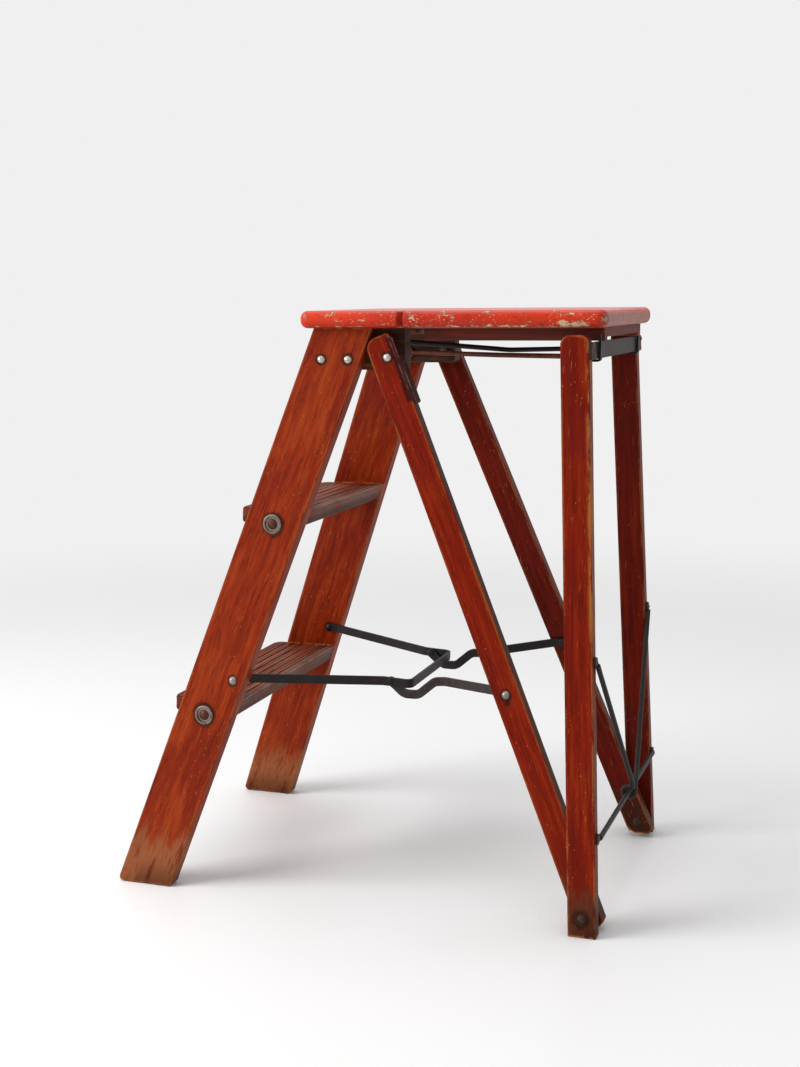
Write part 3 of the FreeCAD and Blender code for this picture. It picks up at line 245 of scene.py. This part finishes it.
STILE_HALOS = (halos(("head_bolts", "stay_rivets", "spreader_front_rivets"), RIVET_HALO)
               + halos(("tie_rod_washers",), WASHER_HALO))
PROP_HALOS = (halos(("prop_pivot_bolts",), RIVET_HALO)
              + halos(("spreader_rear_rivets",), ARM_RIVET_HALO)
              + halos(("spreader_rear_rivets",), RUN_HALO, RUN_BELOW_RIVET))
LEG_HALOS = halos(("foot_rivets",), FOOT_RIVET_HALO)

# Varnished wood
BARE = shade(172, 112, 64)
SCUFF = shade(186, 116, 52)
STAIN = shade(26, 12, 9)
CRIMSON = shade(104, 16, 12)
MAROON = shade(44, 8, 8)
VARNISH_EDGE = 0.0042
VARNISH_RELIEF = 0.0006
SCRATCH_TURN = 7.0


def varnished(name, lean, dark, main, light, seed, dark_spots, wear=1.0, foot=None, foot_tone=None,
              marks=None, rear_painted_shade=0.0, old_paint=None):
    """Stained and varnished board: grain along its lean, worn pale edges, chips and dark halos.

    foot is the height of the bald foot and the depth of its ragged upper end.
    """
    g = Graph(name)
    turn = leaning(lean)
    long_grain = g.grain(turn, 150.0, 2.4, (seed, seed, seed), detail=8.0, roughness=0.62, distortion=0.3)
    fine = g.grain(turn, 560.0, 11.0, (seed, 0.0, seed), detail=3.0)
    blotch = g.grain(turn, 15.0, 5.0, (seed, seed, 0.0), detail=5.0, distortion=0.8)
    crimson = g.grain(turn, 11.0, 6.0, (0.0, seed, seed), detail=3.0)
    worn = g.grain(turn, 90.0, 16.0, (0.0, seed, 0.0), detail=6.0, roughness=0.7)

    g.colour = g.tones(long_grain, (0.22, dark), (0.50, main), (0.80, light))
    g.tint(light, g.ramp(blotch, 0.50, 0.76), 0.45)
    g.tint(dark, g.ramp(blotch, 0.44, 0.26), 0.60)
    g.tint(CRIMSON, g.ramp(crimson, 0.50, 0.66), 0.45)
    g.tint(STAIN, g.ramp(fine, 0.45, 0.35), 0.40)
    if foot:
        height, ragged = foot
        level = g.plus(g.z, g.spread(worn, ragged))
        bald_tone = g.mix(g.ramp(worn, 0.28, 0.50), dark, foot_tone)
        g.tint(bald_tone, g.ramp(level, height * 1.20, height * 0.70), g.ramp(fine, 0.26, 0.46), 0.90)
        g.tint(STAIN, g.ramp(g.z, height * 0.6, 0.0), g.ramp(blotch, 0.44, 0.58), 0.55)
    # Painted shade: faces turned to the rear are darkened towards the stain tone.
    if rear_painted_shade:
        g.tint(STAIN, g.ramp(g.rearward, 0.6, 0.9), rear_painted_shade)

    edge = g.times(g.edges(VARNISH_EDGE, 0.010, 0.08), g.ramp(worn, 0.42, 0.56), wear)
    specks = g.times(g.ramp(g.cells(g.turned(turn, (1.0, 1.0, 0.8)), 210.0), 0.20, 0.08),
                     g.ramp(g.noise(g.place, 38.0, detail=3.0), 0.54, 0.64), 0.7 * wear)
    streaks = g.grain(leaning(lean + SCRATCH_TURN), 700.0, 30.0, (0.0, 0.0, seed), detail=2.0)
    scratches = g.times(g.ramp(streaks, 0.68, 0.74), 0.5 * wear)
    rubbing = g.grain(turn, 60.0, 34.0, (seed, seed, seed), detail=9.0, roughness=0.8)
    rubs = g.times(g.ramp(rubbing, 0.62, 0.70), 0.45 * wear)
    bare = g.largest(edge, specks, scratches, rubs)
    if marks:
        bare = g.largest(bare, marks(g, worn))
    g.tint(g.mix(long_grain, BARE, SCUFF), bare, 0.75)
    for point, low, high in dark_spots:
        g.tint(STAIN, g.near(point, low, high, worn), 0.75)
    if old_paint:
        g.tint(MAROON, old_paint(g, worn))

    rough = g.plus(0.40, g.times(g.noise(g.place, 30.0), 0.12), g.times(bare, 0.25))
    g.set(base_color=g.colour, roughness=rough, coat_weight=0.04, coat_roughness=0.22, ior=1.45,
          specular_ior_level=0.07)
    relief = g.plus(g.times(long_grain, 0.6), g.times(fine, 0.5))
    g.bump(g.minus(relief, g.times(bare, 0.8)), 0.28, VARNISH_RELIEF)
    return g.material


# Golden scuffs down the upper half of the rear leg's rear edge
LEG_REAR_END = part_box("rear_leg_left")[1].y
LEG_EDGE_SLOPE = math.tan(math.radians(2.06))
SCUFF_WIDTH = 0.006
SCUFF_EDGE = 0.001
SCUFF_LOW = 0.34
SCUFF_HIGH = 0.60
SCUFF_FADE = 0.04


def rear_leg_marks(g, worn):
    to_rear = g.plus(g.y, g.times(g.z, LEG_EDGE_SLOPE))
    rear = g.ramp(to_rear, LEG_REAR_END - SCUFF_WIDTH, LEG_REAR_END - SCUFF_EDGE)
    return g.times(rear, g.band(g.z, SCUFF_LOW, SCUFF_HIGH, SCUFF_FADE), g.ramp(worn, 0.44, 0.54), 0.8)


# Dark old paint on the prop's face beside the wear block
PROP_ACROSS = (math.cos(math.radians(PROP_LEAN)), -math.sin(math.radians(PROP_LEAN)))
PROP_REAR_END = max(vertex.co.y * PROP_ACROSS[0] + vertex.co.z * PROP_ACROSS[1]
                    for vertex in nodes["prop_leg_left"].data.vertices)
PAINT_START = 0.0085
PAINT_FULL = 0.0065
PAINT_RAGGED = 0.004
PAINT_FADE = 0.004
PAINT_ABOVE_BLOCK_FOOT = 0.004
PAINT_BELOW_BLOCK_TOP = 0.002


def block_paint(g, worn):
    low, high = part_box("prop_wear_block")
    across = g.plus(g.times(g.y, PROP_ACROSS[0]), g.times(g.z, PROP_ACROSS[1]), g.spread(worn, PAINT_RAGGED))
    beside = g.ramp(across, PROP_REAR_END - PAINT_START, PROP_REAR_END - PAINT_FULL)
    along = g.band(g.z, low.z + PAINT_ABOVE_BLOCK_FOOT, high.z - PAINT_BELOW_BLOCK_TOP, PAINT_FADE)
    return g.times(beside, along, 0.9)


STILE = dict(lean=STILE_LEAN, dark_spots=STILE_HALOS, dark=shade(96, 22, 5), main=shade(136, 40, 10),
             light=shade(166, 68, 24), foot_tone=shade(148, 88, 54))
NEAR_LEG = dict(dark=shade(80, 11, 0), main=shade(123, 24, 1), light=shade(152, 48, 6),
                foot_tone=shade(86, 46, 28))
# Painted shade: the far prop and far rear leg take darker copies of the near legs' tones, feet included.
SHADED_FAR_LEG = dict(dark=shade(52, 6, 0), main=shade(94, 14, 1), light=shade(122, 32, 5),
               foot_tone=shade(58, 28, 16))
PROP = dict(lean=PROP_LEAN, dark_spots=PROP_HALOS)
REAR_LEG = dict(lean=LEG_LEAN, dark_spots=LEG_HALOS)

stile_left = varnished("stile_wood_left", foot=(0.062, 0.13), seed=1.3, **STILE)
stile_right = varnished("stile_wood_right", foot=(0.062, 0.11), seed=4.1, wear=1.3, **STILE)
# The near prop and near rear leg get painted shade on their faces turned to the rear.
prop_left = varnished("prop_wood_left", foot=(0.060, 0.08), seed=2.2, rear_painted_shade=0.80,
                      old_paint=block_paint, **PROP, **NEAR_LEG)
prop_right = varnished("prop_wood_right", foot=(0.062, 0.09), seed=7.4, wear=1.2, **PROP, **SHADED_FAR_LEG)
rear_leg_left = varnished("rear_leg_wood_left", foot=(0.052, 0.11), seed=3.7, wear=1.3, rear_painted_shade=0.45,
                          marks=rear_leg_marks, **REAR_LEG, **NEAR_LEG)
rear_leg_right = varnished("rear_leg_wood_right", seed=9.1, **REAR_LEG, **SHADED_FAR_LEG)

# Plain timber under the platform, and the dowels
TIMBER_EDGE = 0.003
TIMBER_RELIEF = 0.0006


def dull_wood(name, turn, dark, main, light, seed=0.0):
    """Unvarnished, dirty timber."""
    g = Graph(name)
    grain = g.grain(turn, 80.0, 3.0, (seed, 0.0, seed), detail=6.0, distortion=0.6)
    fine = g.grain(turn, 600.0, 16.0, (0.0, 0.0, 0.0), detail=3.0)
    dirt = g.noise(g.place, 24.0, detail=5.0)
    g.colour = g.tones(grain, (0.32, dark), (0.52, main), (0.74, light))
    g.tint(STAIN, g.ramp(fine, 0.46, 0.36), 0.5)
    g.tint(STAIN, g.ramp(dirt, 0.50, 0.66), 0.5)
    g.tint(light, g.edges(TIMBER_EDGE, 0.02, 0.20), g.ramp(dirt, 0.45, 0.6), 0.6)
    g.set(base_color=g.colour, roughness=g.plus(0.55, g.times(fine, 0.2)), ior=1.45, specular_ior_level=0.3)
    g.bump(g.plus(grain, g.times(fine, 0.6)), 0.35, TIMBER_RELIEF)
    return g.material


BATTEN = dict(dark=shade(60, 18, 8), main=shade(104, 34, 16), light=shade(150, 74, 40))
cleat_wood = dull_wood("cleat_wood", ALONG_Y, shade(42, 22, 12), shade(84, 48, 26), shade(128, 84, 50))
batten_wood = dull_wood("batten_wood", ALONG_Y, seed=3.0, **BATTEN)
cross_wood = dull_wood("rear_batten_wood", ALONG_X, seed=6.0, **BATTEN)
dowel_wood = dull_wood("dowel_wood", UPRIGHT, shade(96, 62, 40), shade(140, 98, 64), shade(170, 130, 92))

# Treads: sizes of the worn middle, the rear strip of painted reflection, the grooves and the darker lower
# edge
RED_FROM = 0.070
ALL_RED_FROM = 0.125
RED_RAGGED = 0.12
REFLECTION_STRIP = 0.010
REFLECTION_STRIP_FADE = 0.003
GROOVE_LOW = 0.0026
GROOVE_HIGH = 0.0006
GROOVE_FADE = 0.0003
LOW_EDGE_DARK_FROM = 0.013
LOW_EDGE_DARK_ALL = 0.003
TREAD_EDGE = 0.0025
TREAD_RELIEF = 0.0007
REFLECTION_TONE = shade(120, 98, 92)
EDGE_TONE = shade(186, 170, 156)


def tread(name, node, seed):
    """Wood worn brown in the middle and still red at the ends, darker in the grooves."""
    low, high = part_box(node)
    g = Graph(name)
    grain = g.grain(ALONG_X, 110.0, 3.2, (seed, seed, 0.0), detail=6.0, roughness=0.62, distortion=0.5)
    fine = g.grain(ALONG_X, 700.0, 18.0, (0.0, seed, 0.0), detail=3.0)
    patch = g.noise(g.place, 22.0, detail=6.0, roughness=0.65)
    worn = g.tones(grain, (0.30, shade(84, 32, 12)), (0.50, shade(124, 54, 26)), (0.74, shade(164, 100, 66)))
    red = g.tones(grain, (0.32, shade(70, 22, 10)), (0.55, shade(118, 44, 20)), (0.75, shade(152, 74, 40)))

    outward = g.plus(g.sum("ABSOLUTE", g.x), g.spread(patch, RED_RAGGED))
    g.colour = g.mix(g.times(g.ramp(outward, RED_FROM, ALL_RED_FROM), 0.9), worn, red)
    # Painted reflection: a pinkish grey strip along the rear of the tread.
    g.tint(REFLECTION_TONE, g.band(g.y, high.y - REFLECTION_STRIP, high.y, REFLECTION_STRIP_FADE), 0.6,
           g.ramp(patch, 0.35, 0.6))
    groove = g.band(g.z, high.z - GROOVE_LOW, high.z - GROOVE_HIGH, GROOVE_FADE)
    g.tint(STAIN, groove, g.ramp(g.sum("ABSOLUTE", g.upward), 0.2, 0.1), 0.9)
    g.tint(STAIN, groove, g.ramp(g.upward, 0.5, 0.8))
    g.tint(STAIN, g.ramp(fine, 0.45, 0.35), 0.5)
    # Darker towards the bottom of the tread.
    g.tint(STAIN, g.ramp(g.z, low.z + LOW_EDGE_DARK_FROM, low.z + LOW_EDGE_DARK_ALL), 0.55)
    g.tint(EDGE_TONE, g.edges(TREAD_EDGE, 0.02, 0.20), g.ramp(patch, 0.40, 0.58), 0.5)
    g.set(base_color=g.colour, roughness=g.plus(0.42, g.times(fine, 0.25)), ior=1.45,
          specular_ior_level=0.08)
    g.bump(g.plus(grain, g.times(fine, 0.7)), 0.45, TREAD_RELIEF)
    return g.material


# Boards: heights that the paint's wear, the painted shade and the painted reflection keep to, measured from
# their top, underside and rear end
BOARD_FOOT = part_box("front_board")[0].z
BOARD_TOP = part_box("front_board")[1].z
BOARD_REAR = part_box("rear_board")[1].y
ROUNDING = 0.006
ROUNDING_END = 0.001
SIDE_FROM = 0.002
LEVEL_FROM = 0.003
LEVEL_ALL = 0.0005
RUBBED_FROM = 0.002
LOW_RIM = 0.0075
RIM_ALL = 0.0005
SHADED_FROM = 0.008
SHADED_ALL = 0.003
REAR_WEAR_AND_REFLECTION = 0.006
BARE_CORNER_FROM = 0.046
BARE_CORNER_TO = 0.022
BARE_CORNER_FADE = 0.014
BARE_CORNER_HEIGHT = 0.007
BARE_CORNER_SOFT = 0.004
PAINT_RELIEF = 0.0008
SCUFF_DRIFT = (0.0, 0.0, 24.0)
PAINT_DEEP = shade(184, 38, 6)
PAINT_BRIGHT = shade(212, 54, 12)
PAINT_MOTTLED = shade(120, 22, 10)
PAINT_BELOW = shade(122, 34, 18)
PAINT_SHADED = shade(136, 26, 8)
PAINT_RUBBED = shade(214, 96, 66)
PAINT_SOOTY = shade(78, 28, 18)
REAR_END_REFLECTION = shade(132, 84, 80)
CHIP_RIM = shade(104, 34, 20)
DOT_TONE = shade(206, 168, 132)
PRIMER_DARK = shade(176, 122, 88)
PRIMER_PALE = shade(214, 186, 152)


def red_paint(name, seed):
    """Red paint, chipped to primer and wood along its edges."""
    g = Graph(name)
    soft = g.noise(g.turned(UPRIGHT, (9.0, 9.0, 9.0), (seed, 0.0, 0.0)), detail=4.0)
    mottle = g.noise(g.place, 150.0, detail=5.0, roughness=0.7)
    chips = g.noise(g.turned(UPRIGHT, (95.0, 62.0, 170.0), (seed, seed, 0.0)), detail=10.0, roughness=0.78)
    sooty = g.noise(g.turned(UPRIGHT, (220.0, 130.0, 260.0), (0.0, seed, 0.0)), detail=6.0, roughness=0.7)
    nicked = g.noise(g.turned(UPRIGHT, (60.0, 60.0, 60.0), (seed, 0.0, seed)), detail=8.0, roughness=0.75)
    scuffed = g.noise(g.turned(SCUFF_DRIFT, (260.0, 9.0, 40.0), (0.0, seed, 0.0)), detail=5.0)

    not_below = g.minus(1.0, g.ramp(g.upward, -0.75, -0.95))
    side = g.times(g.ramp(g.z, BOARD_TOP - SIDE_FROM, BOARD_TOP - ROUNDING), not_below)
    level_top = g.ramp(g.z, BOARD_TOP - LEVEL_FROM, BOARD_TOP - LEVEL_ALL)
    low_edge = g.times(g.ramp(g.z, BOARD_FOOT + LOW_RIM, BOARD_FOOT + RIM_ALL), not_below)
    rear_end = g.times(g.ramp(g.y, BOARD_REAR - REAR_WEAR_AND_REFLECTION, BOARD_REAR - RIM_ALL), side)
    round_top = g.band(g.z, BOARD_TOP - ROUNDING, BOARD_TOP - ROUNDING_END, ROUNDING_END)
    bare_from = BOARD_REAR - BARE_CORNER_FROM
    bare_to = BOARD_REAR - BARE_CORNER_TO
    corner = g.times(g.band(g.y, bare_from, bare_to, BARE_CORNER_FADE),
                     g.band(g.z, BOARD_FOOT, BOARD_FOOT + BARE_CORNER_HEIGHT, BARE_CORNER_SOFT), side)
    exposed = g.largest(g.times(low_edge, 0.13), g.times(side, 0.055), g.times(round_top, 0.075),
                        g.times(rear_end, 0.13), g.times(corner, 0.17))
    level = g.plus(chips, exposed)
    chipped = g.ramp(level, 0.640, 0.664)
    dots = g.times(g.ramp(g.cells(g.turned(UPRIGHT, (1.0, 0.6, 1.0)), 420.0), 0.34, 0.14), side,
                   g.ramp(g.noise(g.place, 42.0, detail=5.0), 0.50, 0.60))
    nicks = g.times(level_top, g.ramp(nicked, 0.64, 0.68))
    rubbed = g.times(g.ramp(scuffed, 0.58, 0.70), g.ramp(g.z, BOARD_TOP - RUBBED_FROM, BOARD_TOP))

    g.colour = g.mix(g.ramp(soft, 0.35, 0.70), PAINT_DEEP, PAINT_BRIGHT)
    g.tint(PAINT_MOTTLED, g.ramp(mottle, 0.52, 0.68), 0.45)
    g.tint(PAINT_BELOW, g.minus(1.0, not_below), 0.8)
    # Painted shade: the paint darkens from just below the top down to the underside.
    g.tint(PAINT_SHADED, g.ramp(g.z, BOARD_TOP - SHADED_FROM, BOARD_FOOT + SHADED_ALL), 0.45)
    g.tint(CHIP_RIM, g.ramp(level, 0.622, 0.638), 0.8)
    primer = g.mix(g.ramp(mottle, 0.40, 0.60), PRIMER_DARK, PRIMER_PALE)
    g.tint(primer, chipped)
    g.tint(DOT_TONE, dots, 0.8)
    g.tint(PAINT_SOOTY, g.ramp(sooty, 0.60, 0.66), side, 0.8)
    # Painted reflection: the rear end is paled to a pinkish grey.
    g.tint(REAR_END_REFLECTION, rear_end, 0.60)
    g.tint(primer, nicks, 0.85)
    g.tint(PAINT_RUBBED, rubbed, 0.30)

    missing = g.largest(chipped, dots, nicks)
    rough = g.plus(0.38, g.times(g.ramp(soft, 0.4, 0.7), 0.10), g.times(level_top, -0.10),
                   g.times(missing, 0.30), g.times(rubbed, 0.12))
    g.set(base_color=g.colour, roughness=rough, coat_weight=0.06, coat_roughness=0.25, ior=1.50,
          specular_ior_level=g.plus(0.20, g.times(level_top, 0.25)))
    waves = g.noise(g.place, 40.0, detail=2.0)
    g.bump(g.minus(g.times(waves, 0.5), missing), 0.30, PAINT_RELIEF)
    return g.material


# Wear block: old paint in layers, worn through along its edges
LAYER_EDGE = 0.0025
LAYER_RELIEF = 0.0007
WORN_THROUGH = shade(176, 118, 104)


def wear_paint(name):
    g = Graph(name)
    layers = g.grain(leaning(PROP_LEAN), 120.0, 40.0, (0.0, 0.0, 0.0), detail=7.0, roughness=0.7)
    g.colour = g.tones(layers, (0.34, shade(26, 6, 6)), (0.52, shade(54, 12, 12)), (0.66, shade(92, 36, 34)),
                       (0.78, shade(150, 96, 88)))
    g.tint(WORN_THROUGH, g.edges(LAYER_EDGE, 0.02, 0.2), g.ramp(layers, 0.42, 0.56), 0.7)
    g.set(base_color=g.colour, roughness=g.plus(0.42, g.times(layers, 0.3)), ior=1.46,
          specular_ior_level=0.15)
    g.bump(layers, 0.4, LAYER_RELIEF)
    return g.material


# Iron and steel
RUST = shade(86, 48, 30)
DARK_IRON_TONE = shade(30, 22, 20)
POLISH = shade(98, 86, 78)
IRON_EDGE = 0.0012
IRON_RELIEF = 0.0004
DARK_FADE_X = 0.001
DARK_FADE_Y = 0.004
LIT_SHARE = 1.9


def iron(name, base, rust, rusted, rough, metal, seed=0.0, dark_within=None, dark_behind=None):
    """Forged and painted iron: mottled, rusty in patches and polished along its edges.

    rusted is how far the rust spreads, from 0 to 1. A darker tone covers what lies within the distance
    dark_within of the middle plane, or behind the place dark_behind along Y.
    """
    g = Graph(name)
    mottle = g.noise(g.turned(UPRIGHT, (120.0, 120.0, 120.0), (seed, 0.0, 0.0)), detail=7.0, roughness=0.68)
    fine = g.noise(g.place, 900.0, detail=2.0)
    patches = g.ramp(mottle, 0.62 - 0.16 * rusted, 0.74 - 0.16 * rusted)
    lit = tuple(min(1.0, LIT_SHARE * part) for part in base[:3]) + (1.0,)
    g.colour = g.mix(g.ramp(mottle, 0.30, 0.65), base, lit)
    g.tint(rust, patches, 0.85)
    g.tint(POLISH, g.edges(IRON_EDGE, 0.03, 0.3), g.ramp(mottle, 0.45, 0.65), 0.30)
    # A darker tone over the inner ends or the rear part of the piece.
    if dark_within:
        g.tint(DARK_IRON_TONE, g.ramp(g.sum("ABSOLUTE", g.x), dark_within + DARK_FADE_X, dark_within - DARK_FADE_X))
    if dark_behind:
        g.tint(DARK_IRON_TONE, g.ramp(g.y, dark_behind - DARK_FADE_Y, dark_behind + DARK_FADE_Y))
    g.set(base_color=g.colour, metallic=metal, specular_ior_level=0.25,
          roughness=g.plus(rough, g.times(patches, 0.35), g.times(fine, 0.12)))
    g.bump(g.plus(mottle, g.times(fine, 0.4)), 0.30, IRON_RELIEF)
    return g.material


DARK_AHEAD_OF_BAR = 0.012
STRAP_RIVET_HEAD = 0.010
dark_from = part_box("cross_bar")[0].y - DARK_AHEAD_OF_BAR
strap_rivet_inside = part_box("spreader_front_rivets")[1].x - STRAP_RIVET_HEAD

WORN_STEEL = dict(base=shade(120, 108, 100), rust=shade(80, 52, 42), rusted=0.45, rough=0.30, seed=6.0)

black_iron = iron("black_iron", shade(20, 15, 15), RUST, rusted=0.12, rough=0.46, metal=0.05)
arm_iron = iron("worn_iron", shade(42, 35, 34), RUST, rusted=0.30, rough=0.42, metal=0.25, seed=4.0)
bar_iron = iron("cross_bar_iron", shade(26, 15, 14), shade(70, 38, 30), rusted=0.30, rough=0.52, metal=0.0,
                seed=8.0)
brown_iron = iron("brown_iron", shade(72, 36, 24), shade(124, 66, 40), rusted=0.7, rough=0.45, metal=0.30,
                  seed=2.0, dark_behind=dark_from)
washer_iron = iron("washer_iron", shade(104, 92, 84), shade(64, 38, 28), rusted=0.5, rough=0.30, metal=0.85,
                   seed=5.0)
rod_iron = iron("rod_iron", shade(64, 36, 28), shade(84, 44, 30), rusted=0.6, rough=0.40, metal=0.5,
                seed=7.0)
bright_steel = iron("bright_steel", shade(150, 142, 136), shade(86, 62, 50), rusted=0.15, rough=0.24,
                    metal=0.95, seed=1.0)
rivet_steel = iron("rivet_steel", metal=0.9, **WORN_STEEL)
strap_rivet = iron("strap_rivet", metal=0.6, dark_within=strap_rivet_inside, **WORN_STEEL)
rusty_steel = iron("rusty_steel", shade(84, 60, 48), shade(112, 62, 38), rusted=0.9, rough=0.45, metal=0.6,
                   seed=9.0)
foot_iron = iron("foot_iron", shade(46, 32, 26), shade(78, 46, 30), rusted=0.6, rough=0.50, metal=0.3,
                 seed=9.0)

LOOKS = {
    "tread_lower": tread("tread_wood_lower", "tread_lower", 2.0),
    "tread_upper": tread("tread_wood_upper", "tread_upper", 5.0),
    "stile_left": stile_left,
    "stile_right": stile_right,
    "head_cleat_left": cleat_wood,
    "head_cleat_right": cleat_wood,
    "front_board": red_paint("red_paint_front", 1.7),
    "rear_board": red_paint("red_paint_rear", 5.3),
    "tie_rod_lower": rod_iron,
    "tie_rod_upper": rod_iron,
    "tie_rod_washers": washer_iron,
    "front_board_dowels": dowel_wood,
    "head_bolts": bright_steel,
    "stay_rivets": bright_steel,
    "head_nuts": rusty_steel,
    "prop_pivot_bolts": bright_steel,
    "prop_pivot_washers": rusty_steel,
    "prop_pivot_nuts": rusty_steel,
    "prop_leg_left": prop_left,
    "prop_leg_right": prop_right,
    "prop_wear_block": wear_paint("wear_paint"),
    "foot_rivets": foot_iron,
    "foot_spacers": foot_iron,
    "cross_bar": bar_iron,
    "cross_bar_screws": rusty_steel,
    "brace_rod": black_iron,
    "brace_v_rod": black_iron,
    "brace_screws": rusty_steel,
    "rear_leg_left": rear_leg_left,
    "rear_leg_right": rear_leg_right,
    "side_batten_left": batten_wood,
    "side_batten_right": batten_wood,
    "rear_batten": cross_wood,
    "batten_screws": rusty_steel,
    "hinge_leaves_front": brown_iron,
    "hinge_leaves_rear": brown_iron,
    "hinge_pins": brown_iron,
    "hinge_screws_front": rusty_steel,
    "hinge_screws_rear": rusty_steel,
    "stay_rod_left": black_iron,
    "stay_rod_right": brown_iron,
    "spreader_strap": black_iron,
    "spreader_arm_left": arm_iron,
    "spreader_arm_right": black_iron,
    "spreader_front_rivets": strap_rivet,
    "spreader_knee_rivets": black_iron,
    "spreader_rear_rivets": rivet_steel,
    "spreader_end_rivets": black_iron,
}
for name, node in nodes.items():
    node.data.materials.clear()
    node.data.materials.append(LOOKS[name])

# Floor: white, fading to the colour of the backdrop away from the stool
BACKDROP = shade(240, 240, 240)
FLOOR_HALF = 14.0
FLOOR_DROP = 0.0005
FADE_FROM = 0.9
FADE_TO = 2.6


def make_floor():
    half = FLOOR_HALF
    corners = [(-half, -half, 0), (half, -half, 0), (half, half, 0), (-half, half, 0)]
    mesh = bpy.data.meshes.new("floor")
    mesh.from_pydata(corners, [], [(0, 1, 2, 3)])
    floor = bpy.data.objects.new("floor", mesh)
    bpy.context.scene.collection.objects.link(floor)
    floor.location.z = -FLOOR_DROP
    g = Graph("floor_white")
    g.set(base_color=shade(250, 250, 250), roughness=0.50, ior=1.35)
    glow = g.node("ShaderNodeEmission")
    g.feed(glow.inputs["Color"], BACKDROP)
    rays = g.node("ShaderNodeLightPath").outputs
    seen = g.largest(rays["Is Camera Ray"], rays["Is Glossy Ray"])
    blend = g.node("ShaderNodeMixShader")
    g.feed(blend.inputs[0], g.times(g.ramp(g.length(g.x, g.y), FADE_FROM, FADE_TO), seen))
    g.feed(blend.inputs[1], g.shader.outputs["BSDF"])
    g.feed(blend.inputs[2], glow.outputs[0])
    g.feed(g.output.inputs["Surface"], blend.outputs[0])
    mesh.materials.append(g.material)


make_floor()

# World: a pale backdrop to the camera and in reflections, and a soft fill
FILL = (1.0, 1.0, 1.0, 1.0)
FILL_STRENGTH = 0.36
BACKDROP_STRENGTH = 1.0


def make_world():
    world = bpy.data.worlds.new("studio")
    bpy.context.scene.world = world
    world.use_nodes = True
    t = Tree(world.node_tree)
    rays = t.node("ShaderNodeLightPath").outputs
    seen = t.largest(rays["Is Camera Ray"], rays["Is Glossy Ray"], rays["Is Transmission Ray"])
    choice = t.node("ShaderNodeMixShader")
    t.feed(choice.inputs[0], seen)
    for socket, colour, strength in ((choice.inputs[1], FILL, FILL_STRENGTH),
                                     (choice.inputs[2], BACKDROP, BACKDROP_STRENGTH)):
        light = t.node("ShaderNodeBackground")
        t.feed(light.inputs["Color"], colour)
        t.feed(light.inputs["Strength"], strength)
        t.feed(socket, light.outputs[0])
    t.feed(t.node("ShaderNodeOutputWorld").inputs["Surface"], choice.outputs[0])


make_world()

# Lamps: square, aimed at the stool's middle or its foot
MIDDLE = (0.0, 0.0, 0.35)
FOOT = (0.0, 0.0, 0.0)


def lamp(name, place, aim, side, watts):
    light = bpy.data.lights.new(name, "AREA")
    light.shape = "SQUARE"
    light.size = side
    light.energy = watts
    holder = bpy.data.objects.new(name, light)
    bpy.context.scene.collection.objects.link(holder)
    holder.location = place
    holder.rotation_euler = (Vector(aim) - Vector(place)).to_track_quat("-Z", "Y").to_euler()


lamp("key_window", (1.7, -2.5, 1.7), MIDDLE, 1.7, 82.0)
lamp("top_softbox", (0.2, -0.1, 2.8), FOOT, 2.2, 34.0)
lamp("rear_fill", (-1.2, 2.4, 1.6), MIDDLE, 1.8, 6.0)

# Camera
CAMERA_PLACE = Vector((1.7115, 0.5934, 0.6769))
CAMERA_RIGHT = Vector((-0.325534, 0.945491, -0.008606))
CAMERA_UP = Vector((-0.147444, -0.041771, 0.988188))
CAMERA_FORWARD = Vector((-0.933963, -0.322958, -0.153005))
LENS = 52.07
SENSOR = 36.0
camera_data = bpy.data.cameras.new("camera")
camera_data.lens = LENS
camera_data.sensor_width = SENSOR
camera = bpy.data.objects.new("camera", camera_data)
bpy.context.scene.collection.objects.link(camera)
columns = Matrix((CAMERA_RIGHT, CAMERA_UP, -CAMERA_FORWARD)).transposed()
camera.matrix_world = Matrix.Translation(CAMERA_PLACE) @ columns.to_4x4()
bpy.context.scene.camera = camera
bpy.context.scene.view_settings.view_transform = "Standard"
